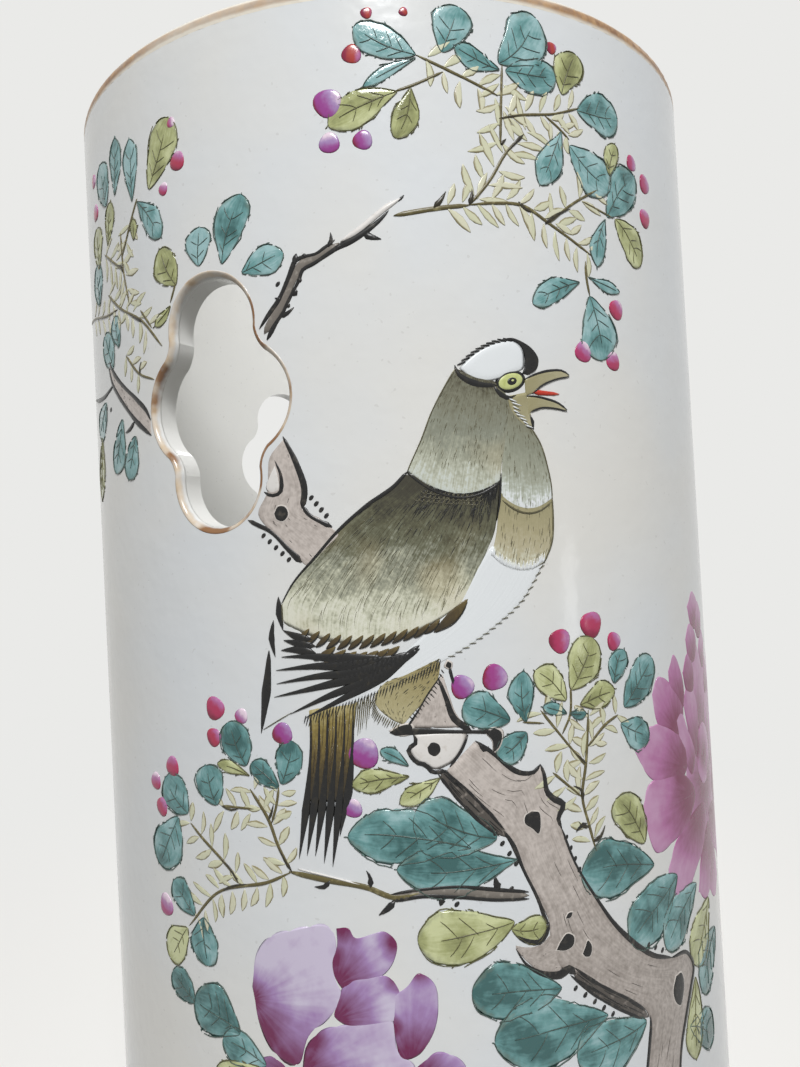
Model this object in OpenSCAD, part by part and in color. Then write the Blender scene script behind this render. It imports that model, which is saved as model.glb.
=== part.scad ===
// Pierced porcelain hat stand: an open tube on a turned foot, with two tiers of lobed windows.
// Millimetres. +Z is up, the origin is the centre of the foot and the painted front faces -Y.

/* [Body] */
// Outside diameter of the tube
body_d = 122; // [100:1:150]
// Height from the foot to the lip
body_h = 285; // [250:1:330]
// Thickness of the wall
wall = 5; // [4.5:0.1:8]
// Height of the seam where the upper drum is luted onto the lower drum
seam_h = 142; // [115:1:170]
// Rise of the bevelled seam from the outside of the wall to the inside
seam_rise = 3; // [1:0.5:6]

/* [Lip] */
// Rounding of the lip's two edges
lip_round = 1.8; // [1:0.1:2.2]
// Thickness of the brown dressing on the lip
lip_coat = 0.4; // [0.2:0.1:0.8]
// How far the dressing runs down each side of the lip
lip_drop = 2.8; // [1.5:0.1:8]

/* [Foot and base] */
// Width of the ledge inside the wall that carries the base slab
ledge_w = 3; // [2:0.5:8]
// Height of the ledge, which is the depth of the hollow under the base
foot_recess = 4; // [2:0.5:10]
// Bevel on the outside of the foot
foot_bevel = 1.5; // [0.5:0.1:3]
// Thickness of the base slab
base_t = 6; // [4:0.5:12]
// Hollow radius of the slip coil where the base slab meets the wall
base_fillet = 5; // [1:0.5:12]
// Thickness of the slip at the two thin edges of that coil
slip_t = 0.5; // [0.3:0.1:1]

/* [Windows] */
// Clear width of a window
win_w = 26; // [22:0.5:34]
// Clear height of a window
win_h = 39; // [32:0.5:48]
// Radius of the top and bottom lobes
end_lobe_r = 7.6; // [6.5:0.1:9.5]
// Radius of the side lobes
side_lobe_r = 8.5; // [7.5:0.1:10]
// Radius that softens the notches between the lobes
notch_round = 6; // [3:0.5:8]
// Distance from the lip down to the middle of the upper windows
upper_drop = 61; // [45:1:75]
// Height of the middle of the lower windows
lower_rise = 61; // [48:1:75]
// Turn of the first upper window from the front, in degrees
first_turn = -27.5; // [-60:0.5:60]
// Turn of the lower tier from the upper tier, in degrees
tier_turn = 60; // [0:1:119]

/* [Window edges] */
// Width of the brown dressing round a window
edge_w = 1; // [0.5:0.1:2]
// Depth of that dressing in the wall
edge_t = 1.6; // [0.8:0.1:3]

/* [Hidden] */
$fn = 128;

paste = [0.87, 0.88, 0.88];
dressing = [0.55, 0.40, 0.26];

windows_per_tier = 3;
body_r = body_d / 2;
inner_r = body_r - wall;
lip_r = min(lip_round, wall * 0.45);
base_top = foot_recess + base_t;
end_y = win_h / 2 - end_lobe_r;
side_x = win_w / 2 - side_lobe_r;
upper_z = body_h - upper_drop;
lower_z = lower_rise;
past = 1;
notch_bite = 0.1;

// Height of the bevelled seam at radius r
function seam_z(r) = seam_h + seam_rise * ((body_r + inner_r) / 2 - r) / wall;

// Turn of one window in the upper and in the lower tier
function upper_turn(i) = first_turn + i * 360 / windows_per_tier;
function lower_turn(i) = upper_turn(i) + tier_turn;

// Section of the wall up to its rounded lip, drawn in by skin on both faces and the crest
module wall_section(skin = 0) {
    round_r = lip_r - skin;
    translate([inner_r + skin, 0])
        square([wall - 2 * skin, body_h - lip_r]);
    translate([inner_r + lip_r, 0])
        square([wall - 2 * lip_r, body_h - skin]);
    for (r = [inner_r + lip_r, body_r - lip_r])
        translate([r, body_h - lip_r])
            circle(round_r);
}

// Section of the dressing that caps the lip
module lip_section() {
    difference() {
        wall_section();
        wall_section(lip_coat);
        square([body_r + past, body_h - lip_drop]);
    }
}

// Middle of the circle that rounds the notch between the top lobe and the right lobe:
// it bites a little into both, so it crosses each lobe's circle at a clear point
function notch_middle() =
    let (
        top_reach = end_lobe_r + notch_round - notch_bite,
        side_reach = side_lobe_r + notch_round - notch_bite,
        gap = norm([side_x, end_y]),
        slope = atan2(-end_y, side_x),
        swing = acos((top_reach ^ 2 + gap ^ 2 - side_reach ^ 2) / (2 * top_reach * gap))
    )
    [0, end_y] + top_reach * [cos(slope + swing), sin(slope + swing)];

// Outline of a window, its edge moved out by grow: four lobes and the star between them,
// whose outer points are the middles of the four notches
module lobes(grow = 0) {
    notch = notch_middle();
    for (side = [-1, 1]) {
        translate([0, side * end_y])
            circle(end_lobe_r + grow);
        translate([side * side_x, 0])
            circle(side_lobe_r + grow);
    }
    difference() {
        polygon([
            [side_x, 0], [notch[0], notch[1]],
            [0, end_y], [-notch[0], notch[1]],
            [-side_x, 0], [-notch[0], -notch[1]],
            [0, -end_y], [notch[0], -notch[1]]
        ]);
        for (side = [-1, 1], end = [-1, 1])
            translate([side * notch[0], end * notch[1]])
                circle(notch_round - grow);
    }
}

// A window's outline carried straight out from the axis through one side of the wall
module window_prism(turn, z, grow = 0) {
    rotate([0, 0, turn])
        translate([0, 0, z])
            rotate([90, 0, 0])
                linear_extrude(body_r + past)
                    lobes(grow);
}

// A window's hole, with the rebate round its outer edge that holds the dressing
module window_cut(turn, z) {
    window_prism(turn, z);
    difference() {
        window_prism(turn, z, edge_w);
        cylinder(h = body_h, r = body_r - edge_t);
    }
}

// The dressing round a window's outer edge, flush with the curve of the wall
module window_edge(turn, z) {
    color(dressing)
        intersection() {
            difference() {
                window_prism(turn, z, edge_w);
                window_prism(turn, z);
            }
            difference() {
                cylinder(h = body_h, r = body_r);
                cylinder(h = body_h, r = body_r - edge_t);
            }
        }
}

// Lower half of the tube, with the foot rim, the ledge and the lower windows
module lower_drum() {
    color(paste)
        difference() {
            rotate_extrude()
                polygon([
                    [inner_r - ledge_w, 0],
                    [body_r - foot_bevel, 0],
                    [body_r, foot_bevel],
                    [body_r, seam_z(body_r)],
                    [inner_r, seam_z(inner_r)],
                    [inner_r, foot_recess],
                    [inner_r - ledge_w, foot_recess]
                ]);
            for (i = [0 : windows_per_tier - 1])
                window_cut(lower_turn(i), lower_z);
        }
}

// Upper half of the tube, with the lip and the upper windows
module upper_drum() {
    color(paste)
        difference() {
            rotate_extrude()
                difference() {
                    wall_section();
                    lip_section();
                    polygon([
                        [0, -past],
                        [body_r + past, -past],
                        [body_r + past, seam_z(body_r + past)],
                        [0, seam_z(0)]
                    ]);
                }
            for (i = [0 : windows_per_tier - 1])
                window_cut(upper_turn(i), upper_z);
        }
}

// Floor of the tube, a flat slab on its ledge
module base_slab() {
    color(paste)
        translate([0, 0, foot_recess])
            cylinder(h = base_t, r = inner_r);
}

// Coil of slip pressed into the corner between the floor and the wall
module slip_fillet() {
    fillet_r = inner_r - slip_t - base_fillet;
    color(paste)
        rotate_extrude()
            difference() {
                translate([fillet_r, base_top])
                    square([base_fillet + slip_t, base_fillet]);
                translate([fillet_r, base_top + base_fillet + slip_t])
                    circle(base_fillet);
            }
}

// Brown dressing over the lip
module lip_dressing() {
    color(dressing)
        rotate_extrude()
            lip_section();
}

lower_drum();
upper_drum();
base_slab();
slip_fillet();
lip_dressing();
window_edge(upper_turn(0), upper_z);  // upper_edge_front
window_edge(upper_turn(1), upper_z);  // upper_edge_right
window_edge(upper_turn(2), upper_z);  // upper_edge_back
window_edge(lower_turn(0), lower_z);  // lower_edge_front
window_edge(lower_turn(1), lower_z);  // lower_edge_back
window_edge(lower_turn(2), lower_z);  // lower_edge_left
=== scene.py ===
"""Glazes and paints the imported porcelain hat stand, and sets it up for its picture.

The enamel painting is laid out on the unrolled wall: s is millimetres of arc to the right of the front
line and z is millimetres above the lip, so everything on the wall has a negative z.
"""

import math

import bpy
import numpy as np
from mathutils import Matrix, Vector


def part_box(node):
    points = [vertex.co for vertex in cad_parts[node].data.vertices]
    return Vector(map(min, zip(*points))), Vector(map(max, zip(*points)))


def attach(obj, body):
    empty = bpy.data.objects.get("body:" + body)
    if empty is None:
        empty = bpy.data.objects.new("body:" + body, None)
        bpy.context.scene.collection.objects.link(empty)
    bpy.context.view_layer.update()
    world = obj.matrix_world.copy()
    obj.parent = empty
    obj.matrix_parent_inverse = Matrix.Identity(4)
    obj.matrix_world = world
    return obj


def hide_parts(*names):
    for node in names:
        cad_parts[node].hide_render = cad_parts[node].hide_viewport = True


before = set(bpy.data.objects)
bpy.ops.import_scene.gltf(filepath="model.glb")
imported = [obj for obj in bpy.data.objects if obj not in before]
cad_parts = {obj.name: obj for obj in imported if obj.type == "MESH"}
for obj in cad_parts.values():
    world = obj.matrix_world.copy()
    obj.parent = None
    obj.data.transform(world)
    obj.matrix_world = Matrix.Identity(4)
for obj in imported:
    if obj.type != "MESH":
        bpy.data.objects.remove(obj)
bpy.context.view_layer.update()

bl_info = {
    "name": "Porcelain hat stand",
    "version": (1, 0, 0),
    "blender": (4, 5, 0),
    "location": "View3D > Sidebar > Hat stand",
    "description": "Glaze, brown dressing, enamel painting and stage of a pierced porcelain hat stand",
    "category": "Object",
}

MM = 0.001
FULL_TURN = 2 * math.pi
TUBE_R = float(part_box("upper_drum")[1].x)
LIP_Z = float(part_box("lip_dressing")[1].z)
# Rims of the enamel end this many millimetres off the glaze, so a little under it.
SINK = -0.02
BRUSH_UV = "brush"
TINT = "tint"
SEEN_RAYS = ("Camera", "Glossy", "Transmission")
SEEDS = {"trunk": 11, "sprays": 23, "berries": 31, "peonies": 41, "bird": 53}


def pigment(red, green, blue):
    """Linear colour of a paint that is given in 0 to 255 screen values."""
    swatch = np.array([red, green, blue]) / 255
    linear = np.where(swatch <= 0.04045, swatch / 12.92, ((swatch + 0.055) / 1.055) ** 2.4)
    return tuple(float(part) for part in linear)


def size(name, description, default):
    """A length property in metres."""
    return bpy.props.FloatProperty(name=name, description=description, default=default, unit="LENGTH")


def colour(name, description, screen):
    """A colour property whose default is given in screen values."""
    return bpy.props.FloatVectorProperty(
        name=name, description=description, default=pigment(*screen), subtype="COLOR", min=0, max=1
    )


class HatStandSizes(bpy.types.PropertyGroup):
    """Sizes of the painting, the window edges and the stage."""

    wash_lift: size("Wash", "How far a leaf, a petal or plumage stands off the glaze", 0.00006)
    ink_lift: size("Ink", "How far an ink line stands off the glaze", 0.00010)
    berry_lift: size("Berry", "How far a berry stands off the glaze", 0.00016)
    edge_width: size("Edge width", "Width of the brown edge round a window", 0.001)
    edge_depth: size("Edge depth", "Depth of the brown edge in the wall", 0.0016)
    floor_radius: size("Floor", "Radius of the floor", 3.0)


class HatStandColours(bpy.types.PropertyGroup):
    """Colours of the glaze, the enamels and the stage."""

    glaze_cool: colour("Cool glaze", "Bluish white of the glaze", (220, 224, 227))
    glaze_warm: colour("Warm glaze", "Creamy white where the glaze is thin", (225, 224, 219))
    # Inner glaze: a paler white for the tube's inside and the windows' cuts, painted light that brightens
    # them.
    glaze_inner_painted_light: colour("Inner glaze", "Glaze inside the tube and in the windows' cuts", (230, 230, 227))
    biscuit: colour("Biscuit", "Unglazed paste on the foot rim", (222, 205, 178))
    brown: colour("Brown dressing", "Iron-brown wash on the lip and the window edges", (136, 96, 60))
    teal: colour("Teal", "Middle tone of the teal leaves", (104, 154, 154))
    teal_deep: colour("Deep teal", "Heart of the teal leaves", (52, 98, 97))
    teal_pale: colour("Pale teal", "Thin enamel on the teal leaves", (156, 192, 194))
    lime: colour("Lime", "Middle tone of the yellow-green leaves", (168, 173, 118))
    lime_deep: colour("Deep lime", "Heart of the yellow-green leaves", (122, 125, 78))
    lime_pale: colour("Pale lime", "Thin enamel on the yellow-green leaves", (204, 209, 160))
    frond: colour("Frond", "Pale fill of the small leaflets", (213, 212, 186))
    frond_edge: colour("Frond edge", "Edge of the small leaflets", (138, 129, 95))
    stem: colour("Stem", "Olive ink of the stems", (98, 90, 58))
    ink: colour("Ink", "Black outline ink", (34, 34, 34))
    umber: colour("Umber", "Brown of the small wing feathers", (72, 58, 27))
    bark: colour("Bark", "Taupe wash of the trunk", (200, 191, 184))
    bark_deep: colour("Deep bark", "Shaded streaks of the trunk", (148, 139, 132))
    plume_dark: colour("Dark plumage", "Darkest brown of the bird", (50, 47, 34))
    plume_cream: colour("Cream plumage", "Pale cream of the bird", (212, 213, 194))
    plume_white: colour("White plumage", "White of the crown and the belly", (228, 232, 234))
    tan: colour("Tan", "Tan of the breast, the thigh and the beak", (168, 160, 126))
    eye: colour("Eye", "Yellow-green of the eye", (196, 203, 138))
    tongue: colour("Tongue", "Red of the tongue", (186, 56, 40))
    berry: colour("Berry", "Crimson of the berries", (176, 44, 88))
    berry_deep: colour("Deep berry", "Dark side of the berries", (134, 22, 60))
    berry_pale: colour("Pale berry", "Thin side of the berries", (228, 208, 222))
    mauve: colour("Mauve", "Purple of the berries under the lip", (150, 62, 142))
    vermilion: colour("Vermilion", "Red of the small berries", (172, 56, 46))
    lilac: colour("Lilac", "Middle tone of the front peony", (164, 132, 182))
    lilac_pale: colour("Pale lilac", "Thin enamel of the front peony", (206, 196, 218))
    plum: colour("Plum", "Dark hearts of the front peony", (108, 20, 76))
    rose: colour("Rose", "Middle tone of the side peony", (178, 106, 158))
    rose_pale: colour("Pale rose", "Thin enamel of the side peony", (198, 150, 186))
    crimson: colour("Crimson", "Dark hearts of the side peony", (120, 18, 74))
    floor: colour("Floor", "Pale floor", (232, 231, 228))
    floor_bounce: colour("Floor bounce", "Tone of the light that the floor throws back", (118, 117, 115))
    backdrop: colour("Backdrop", "Pale background", (234, 234, 232))


def wired(operation, swapped=False):
    """Operator of a wire: it adds a Math node on the wire and the other value, swapped if asked."""

    def operator(self, other=0.0):
        first, second = (other, self) if swapped else (self, other)
        return self.recipe.node("ShaderNodeMath", {"operation": operation}, {0: first, 1: second})

    return operator


class Wire:
    """An output socket of a recipe; arithmetic on it adds Math nodes."""

    def __init__(self, recipe, socket):
        self.recipe = recipe
        self.socket = socket

    __add__ = wired("ADD")
    __radd__ = wired("ADD", swapped=True)
    __sub__ = wired("SUBTRACT")
    __rsub__ = wired("SUBTRACT", swapped=True)
    __mul__ = wired("MULTIPLY")
    __rmul__ = wired("MULTIPLY", swapped=True)
    __truediv__ = wired("DIVIDE")
    __pow__ = wired("POWER")
    __abs__ = wired("ABSOLUTE")

    def clamp(self):
        return self.recipe.node("ShaderNodeClamp", {}, {"Value": self})

    def rise(self, start, end):
        """0 below start and 1 above end, with a smooth step between; a start above end falls instead."""
        settings = {"interpolation_type": "SMOOTHSTEP"}
        if start < end:
            return self.recipe.node(
                "ShaderNodeMapRange", settings, {"Value": self, "From Min": start, "From Max": end}
            )
        return 1 - self.rise(end, start)


class Recipe:
    """A finish: one material and the nodes that make it."""

    store, base, end = "materials", "Principled BSDF", "Material Output"

    def __init__(self, name, **sockets):
        self.owner = getattr(bpy.data, self.store).new(name)
        self.owner.use_nodes = True
        self.tree = self.owner.node_tree
        self.shader = self.tree.nodes[self.base]
        self.pour(self.shader, sockets)

    def pour(self, node, sockets):
        """Set or link each named or numbered socket of a node."""
        for key, value in sockets.items():
            socket = node.inputs[key.replace("_", " ") if isinstance(key, str) else key]
            if isinstance(value, Wire):
                self.tree.links.new(value.socket, socket)
            elif socket.type == "RGBA":
                socket.default_value = (*tuple(value)[:3], 1.0)
            else:
                socket.default_value = value

    def node(self, kind, settings, sockets, output=0):
        """Add any node: its type, its settings or a ramp's stops, and values or links for its sockets."""
        node = self.tree.nodes.new(kind)
        for key, value in settings.items():
            if key == "stops":
                points = node.color_ramp.elements
                while len(points) < len(value):
                    points.new(1.0)
                for point, (position, tone) in zip(points, value):
                    point.position = position
                    point.color = (*tuple(tone)[:3], 1.0)
            else:
                setattr(node, key, value)
        self.pour(node, sockets)
        return Wire(self, node.outputs[output])

    def place(self):
        return self.node("ShaderNodeTexCoord", {}, {}, "Object")

    def brush(self):
        return self.node("ShaderNodeUVMap", {"uv_map": BRUSH_UV}, {})

    def tint(self):
        return self.node("ShaderNodeAttribute", {"attribute_name": TINT}, {}, "Fac")

    def parts(self, vector):
        return [self.node("ShaderNodeSeparateXYZ", {}, {0: vector}, axis) for axis in range(3)]

    def stretch(self, vector, factors):
        return self.node("ShaderNodeVectorMath", {"operation": "MULTIPLY"}, {0: vector, 1: factors})

    def noise(self, vector, scale, detail=2.0):
        sockets = {"Vector": vector, "Scale": scale, "Detail": detail}
        return self.node("ShaderNodeTexNoise", {}, sockets, "Fac")

    def ramp(self, value, stops):
        return self.node("ShaderNodeValToRGB", {"stops": stops}, {"Fac": value})

    def mix(self, factor, first, second):
        return self.node("ShaderNodeMix", {"data_type": "RGBA"}, {0: factor, 6: first, 7: second}, 2)

    def bump(self, height, strength, distance):
        sockets = {"Height": height, "Strength": strength, "Distance": distance}
        return self.node("ShaderNodeBump", {}, sockets, "Normal")

    def seen(self):
        """1 for the camera, glossy and transmission rays, which see the pale background."""
        rays = [self.node("ShaderNodeLightPath", {}, {}, f"Is {kind} Ray") for kind in SEEN_RAYS]
        return (rays[0] + rays[1] + rays[2]).clamp()

    def cover(self, factor, top):
        """Lay another shader over the first one, as far as factor says."""
        under = Wire(self, self.shader.outputs[0])
        mixed = self.node("ShaderNodeMixShader", {}, {0: factor, 1: under, 2: top})
        self.tree.links.new(mixed.socket, self.tree.nodes[self.end].inputs["Surface"])
        return self.owner

    def finish(self, **sockets):
        self.pour(self.shader, sockets)
        return self.owner


class Surroundings(Recipe):
    """The world and its nodes, made in the same way."""

    store, base, end = "worlds", "Background", "World Output"


def glaze_finish(colours):
    """Clear glaze on white paste: cool and warm clouds, pinholes, faint ripples, a bare foot rim, and a
    whiter inside and window cuts that are painted light."""
    recipe = Recipe("glazed_porcelain")
    place = recipe.place()
    x, y, height = recipe.parts(place)
    # Painted light: inside the outer face (the tube's inside and the windows' cuts) the glaze is mixed to a
    # paler white.
    inner = ((x * x + y * y) ** 0.5 / TUBE_R).rise(0.998, 0.99)
    cloud = recipe.noise(place, 16.0, 3.0).rise(0.38, 0.68)
    cells = {"Vector": place, "Scale": 95.0}
    distance = recipe.node("ShaderNodeTexVoronoi", {}, cells, "Distance")
    chance = recipe.parts(recipe.node("ShaderNodeTexVoronoi", {}, cells, "Color"))[0]
    pinhole = distance.rise(0.034, 0.014) * chance.rise(0.84, 0.86)
    speck = recipe.noise(place, 1500.0, 0.0).rise(0.80, 0.84)
    bare = height.rise(0.0021, 0.0015)
    white = recipe.mix(cloud, colours.glaze_cool, colours.glaze_warm)
    white = recipe.mix(inner, white, colours.glaze_inner_painted_light)
    marked = recipe.mix((pinhole * 0.7 + speck * 0.15).clamp(), white, pigment(138, 132, 122))
    tone = recipe.mix(bare, marked, colours.biscuit)
    ripple = recipe.noise(place, 70.0, 2.0) * 0.6 + recipe.noise(place, 420.0, 1.0) * 0.16 - pinhole * 0.6
    gloss = 0.10 + recipe.noise(place, 40.0, 2.0) * 0.1 + bare * 0.65
    return recipe.finish(Base_Color=tone, Roughness=gloss, Normal=recipe.bump(ripple, 0.25, 0.0012))


def lip_finish(colours):
    """Worn brown wash on the lip: strong in a band under the crest, rubbed pale on the crest."""
    recipe = Recipe("brown_lip")
    place = recipe.place()
    depth = (LIP_Z - recipe.parts(place)[2]) * 1000
    wear = recipe.noise(recipe.stretch(place, (1.0, 1.0, 2.0)), 55.0, 4.0)
    grain = recipe.noise(place, 620.0, 3.0)
    band = depth.rise(0.55, 1.25) * depth.rise(2.8, 1.9)
    cover = (band * 0.95 + (wear - 0.5) * 3.0 + (grain - 0.5) * 0.6).clamp()
    brown = recipe.mix(grain.rise(0.35, 0.7), colours.brown, pigment(182, 144, 102))
    tone = recipe.mix(cover, pigment(226, 219, 205), brown)
    return recipe.finish(
        Base_Color=tone, Roughness=0.22 + grain * 0.25, Normal=recipe.bump(grain, 0.2, 0.0004)
    )


def edge_finish(colours):
    """Brown wash that has run off a window's edge: brush runs from the face (0) to the cut (1), where the
    bare glaze turns to the paler inner white, which is painted light.
    """
    recipe = Recipe("brown_window_edge")
    place = recipe.place()
    along = recipe.parts(recipe.brush())[1]
    wear = recipe.noise(place, 130.0, 3.0)
    grain = recipe.noise(place, 800.0, 3.0)
    band = along.rise(-0.05, 0.06) * along.rise(0.95, 0.45)
    cover = (band * 0.95 + (wear - 0.5) * 2.2 + (grain - 0.5) * 0.9 - 0.16).clamp()
    stain = recipe.mix(wear.rise(0.5, 0.64), pigment(206, 186, 158), colours.brown)
    # Painted light: towards the cut the bare glaze turns to the paler inner white.
    bare = recipe.mix(along.rise(0.55, 0.9), colours.glaze_cool, colours.glaze_inner_painted_light)
    tone = recipe.mix(cover, bare, stain)
    return recipe.finish(Base_Color=tone, Roughness=0.14 + grain * 0.12)


def leaf_finish(name, deep, middle, pale):
    """Pooled enamel: brush runs along and across a leaf; a deep pool sits off the middle, thin patches are
    pale and the grey of the ink shows through at the rim."""
    recipe = Recipe(name)
    place = recipe.place()
    along, across = recipe.parts(recipe.brush())[:2]
    rim = abs(across - 0.5) * 2
    pool = recipe.noise(place, 250.0, 2.0)
    grit = recipe.noise(place, 1500.0, 2.0)
    streak = recipe.noise(recipe.stretch(recipe.brush(), (2.0, 9.0, 1.0)), 2.0, 2.0)
    depth = 0.62 - rim * 0.3 + (pool - 0.5) * 2.0 + (streak - 0.5) * 0.6
    depth = (depth + (recipe.tint() - 0.5) * 0.7 + (grit - 0.5) * 0.35).clamp()
    tone = recipe.ramp(depth, [(0.05, pale), (0.5, middle), (0.95, deep)])
    smudge = (rim + along.rise(0.7, 1.0) * 0.3 + (grit - 0.5) * 0.5).rise(0.75, 1.1) * 0.4
    tone = recipe.mix(smudge, tone, pigment(124, 128, 112))
    return recipe.finish(
        Base_Color=tone, Roughness=0.09 + grit * 0.12, Normal=recipe.bump(pool + grit * 0.3, 0.25, 0.0004)
    )


def frond_finish(colours):
    """Pale watery leaflet, darker along one edge and at its tip; brush runs along and across it."""
    recipe = Recipe("frond_enamel")
    along, across = recipe.parts(recipe.brush())[:2]
    grit = recipe.noise(recipe.place(), 900.0, 2.0)
    hue = recipe.tint()
    rim = abs(across - 0.5) * 2 + (across - 0.5) * (hue - 0.5) * 1.6
    edge = (rim + along.rise(0.55, 1.0) * 0.25 + (grit - 0.5) * 0.8).rise(0.5, 0.9) * 0.95
    body = recipe.mix(hue.rise(0.25, 0.75), colours.frond, pigment(207, 208, 178))
    tone = recipe.mix(edge, body, colours.frond_edge)
    return recipe.finish(Base_Color=tone, Roughness=0.2 + grit * 0.15)


def ink_finish(name, tone, thin):
    """Dry-brushed ink: mostly solid, thinner in small flecks."""
    recipe = Recipe(name, Specular_IOR_Level=0.3)
    fleck = recipe.noise(recipe.place(), 1100.0, 2.0)
    shade = recipe.mix(fleck.rise(0.52, 0.8), tone, thin)
    return recipe.finish(Base_Color=shade, Roughness=0.2 + fleck * 0.2)


def berry_finish(colours):
    """A berry that fades from a dark side (brush 0) to a thin pale side (brush 1)."""
    recipe = Recipe("berry_enamel")
    fade, out = recipe.parts(recipe.brush())[:2]
    grit = recipe.noise(recipe.place(), 1300.0, 2.0)
    hue = recipe.tint()
    shade = (fade + (grit - 0.5) * 0.3 - out.rise(0.75, 1.0) * 0.1).clamp()
    body = recipe.mix(hue.rise(0.1, 0.45), colours.mauve, colours.berry)
    body = recipe.mix(hue.rise(0.6, 0.9), body, colours.vermilion)
    dark = recipe.mix(shade.rise(0.32, 0.0), body, colours.berry_deep)
    thin = shade.rise(0.4, 0.75)
    blush = recipe.mix(thin, dark, recipe.mix(hue.rise(0.1, 0.45), colours.lilac, colours.rose))
    tone = recipe.mix(shade.rise(0.7, 1.0), blush, colours.berry_pale)
    return recipe.finish(Base_Color=tone, Roughness=0.13 + grit * 0.1)


def bark_finish(colours):
    """Taupe wash brushed along the trunk, speckled light and dark, darker beside the edges and towards
    the foot."""
    recipe = Recipe("bark_wash")
    brush = recipe.brush()
    across = recipe.parts(brush)[1]
    foot = recipe.parts(recipe.place())[2].rise(LIP_Z - 0.12, LIP_Z - 0.155)
    streak = recipe.noise(recipe.stretch(brush, (9.0, 26.0, 1.0)), 1.0, 3.0)
    blot = recipe.noise(recipe.place(), 260.0, 3.0)
    speckle = recipe.noise(recipe.place(), 1500.0, 1.0)
    rim = (abs(across - 0.5) * 2).rise(0.7, 1.0)
    shade = 0.16 + rim * 0.3 + foot * 0.4 + (streak - 0.45) * 1.1
    shade = shade + (blot - 0.5) * 0.9 + (speckle - 0.5) * 1.2
    tone = recipe.mix(shade.clamp(), colours.bark, colours.bark_deep)
    return recipe.finish(Base_Color=tone, Roughness=0.2 + blot * 0.15)


def plumage_finish(name, stops, hairs, mottle=0.22, warm=0.0):
    """Plumage graded along the brush, with fine hairs drawn the same way, mottled, and tan in warm
    clouds."""
    recipe = Recipe(name)
    brush = recipe.brush()
    along = recipe.parts(brush)[0]
    hair = recipe.noise(recipe.stretch(brush, (4.0, hairs, 1.0)), 1.0, 3.0)
    blot = recipe.noise(recipe.place(), 420.0, 2.0)
    stipple = recipe.noise(recipe.place(), 1900.0, 1.0)
    shade = (along + (hair - 0.5) * 0.5 + (blot - 0.5) * mottle + (stipple - 0.5) * 0.35).clamp()
    tone = recipe.ramp(shade, stops)
    if warm:
        cloud = recipe.noise(recipe.place(), 85.0, 1.0).rise(0.5, 0.7) * along.rise(0.2, 0.6) * warm
        tone = recipe.mix(cloud, tone, pigment(184, 168, 128))
    return recipe.finish(
        Base_Color=tone, Roughness=0.2 + hair * 0.12, Normal=recipe.bump(hair, 0.2, 0.0002)
    )


def halfway(first, second):
    """Colour half way from the first to the second."""
    return tuple(0.5 * a + 0.5 * b for a, b in zip(first, second))


def petal_finish(name, dark, middle, pale):
    """A petal graded from its dark hearts (brush 0) to its thin edge (brush 1), with soft brush marks."""
    recipe = Recipe(name)
    brush = recipe.brush()
    fade = recipe.parts(brush)[0]
    stroke = recipe.noise(recipe.stretch(brush, (1.5, 42.0, 1.0)), 1.0, 2.0)
    blot = recipe.noise(recipe.place(), 170.0, 3.0)
    grit = recipe.noise(recipe.place(), 900.0, 2.0)
    shade = fade + (stroke - 0.5) * 0.36 + (blot - 0.5) * fade.rise(0.1, 0.7) * 0.9 + (grit - 0.5) * 0.15
    shade = (shade + (recipe.tint() - 0.5) * 0.3).clamp()
    stops = [(0.11, dark), (0.38, halfway(dark, middle)), (0.62, middle), (1.0, pale)]
    tone = recipe.ramp(shade, stops)
    return recipe.finish(
        Base_Color=tone, Roughness=0.16 + blot * 0.12, Normal=recipe.bump(stroke, 0.15, 0.0002)
    )


def floor_finish(colours, radius):
    """Plain pale floor that keeps the shadow near the stand and fades into the backdrop far away."""
    recipe = Recipe("pale_floor", Roughness=0.75)
    x, y = recipe.parts(recipe.place())[:2]
    seen = recipe.seen()
    recipe.finish(Base_Color=recipe.mix(seen, colours.floor_bounce, colours.floor))
    far = ((x * x + y * y) ** 0.5).rise(0.08 * radius, 0.22 * radius) * seen
    glow = recipe.node("ShaderNodeEmission", {}, {"Color": colours.backdrop, "Strength": 1.0})
    return recipe.cover(far, glow)


def curve(points, count):
    """Smooth curve through given points: cubic Hermite pieces over the chord length, count samples."""
    knots = np.asarray(points, float)
    chord = np.concatenate([[0], np.cumsum(np.hypot(*np.diff(knots, axis=0).T))])
    slope = np.gradient(knots, chord, axis=0)
    where = np.linspace(0, chord[-1], count)
    piece = np.clip(np.searchsorted(chord, where, "right") - 1, 0, len(chord) - 2)
    gap = (chord[piece + 1] - chord[piece])[:, None]
    t = (where - chord[piece])[:, None] / gap
    a, b = knots[piece], knots[piece + 1]
    da, db = slope[piece] * gap, slope[piece + 1] * gap
    return (
        (2 * t**3 - 3 * t**2 + 1) * a
        + (t**3 - 2 * t**2 + t) * da
        + (3 * t**2 - 2 * t**3) * b
        + (t**3 - t**2) * db
    )


def ease(t):
    """Steps from 0 to 1 that are closer together at both ends."""
    return 0.5 - 0.5 * np.cos(math.pi * t)


def length_of(points):
    """Length of the straight runs between points."""
    return float(np.hypot(*np.diff(np.asarray(points, float), axis=0).T).sum())


def side_of(path):
    """Unit vectors to the left of a path."""
    step = np.gradient(path, axis=0)
    step = step / (np.hypot(step[:, 0], step[:, 1])[:, None] + 1e-9)
    return np.stack([-step[:, 1], step[:, 0]], axis=1)


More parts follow.
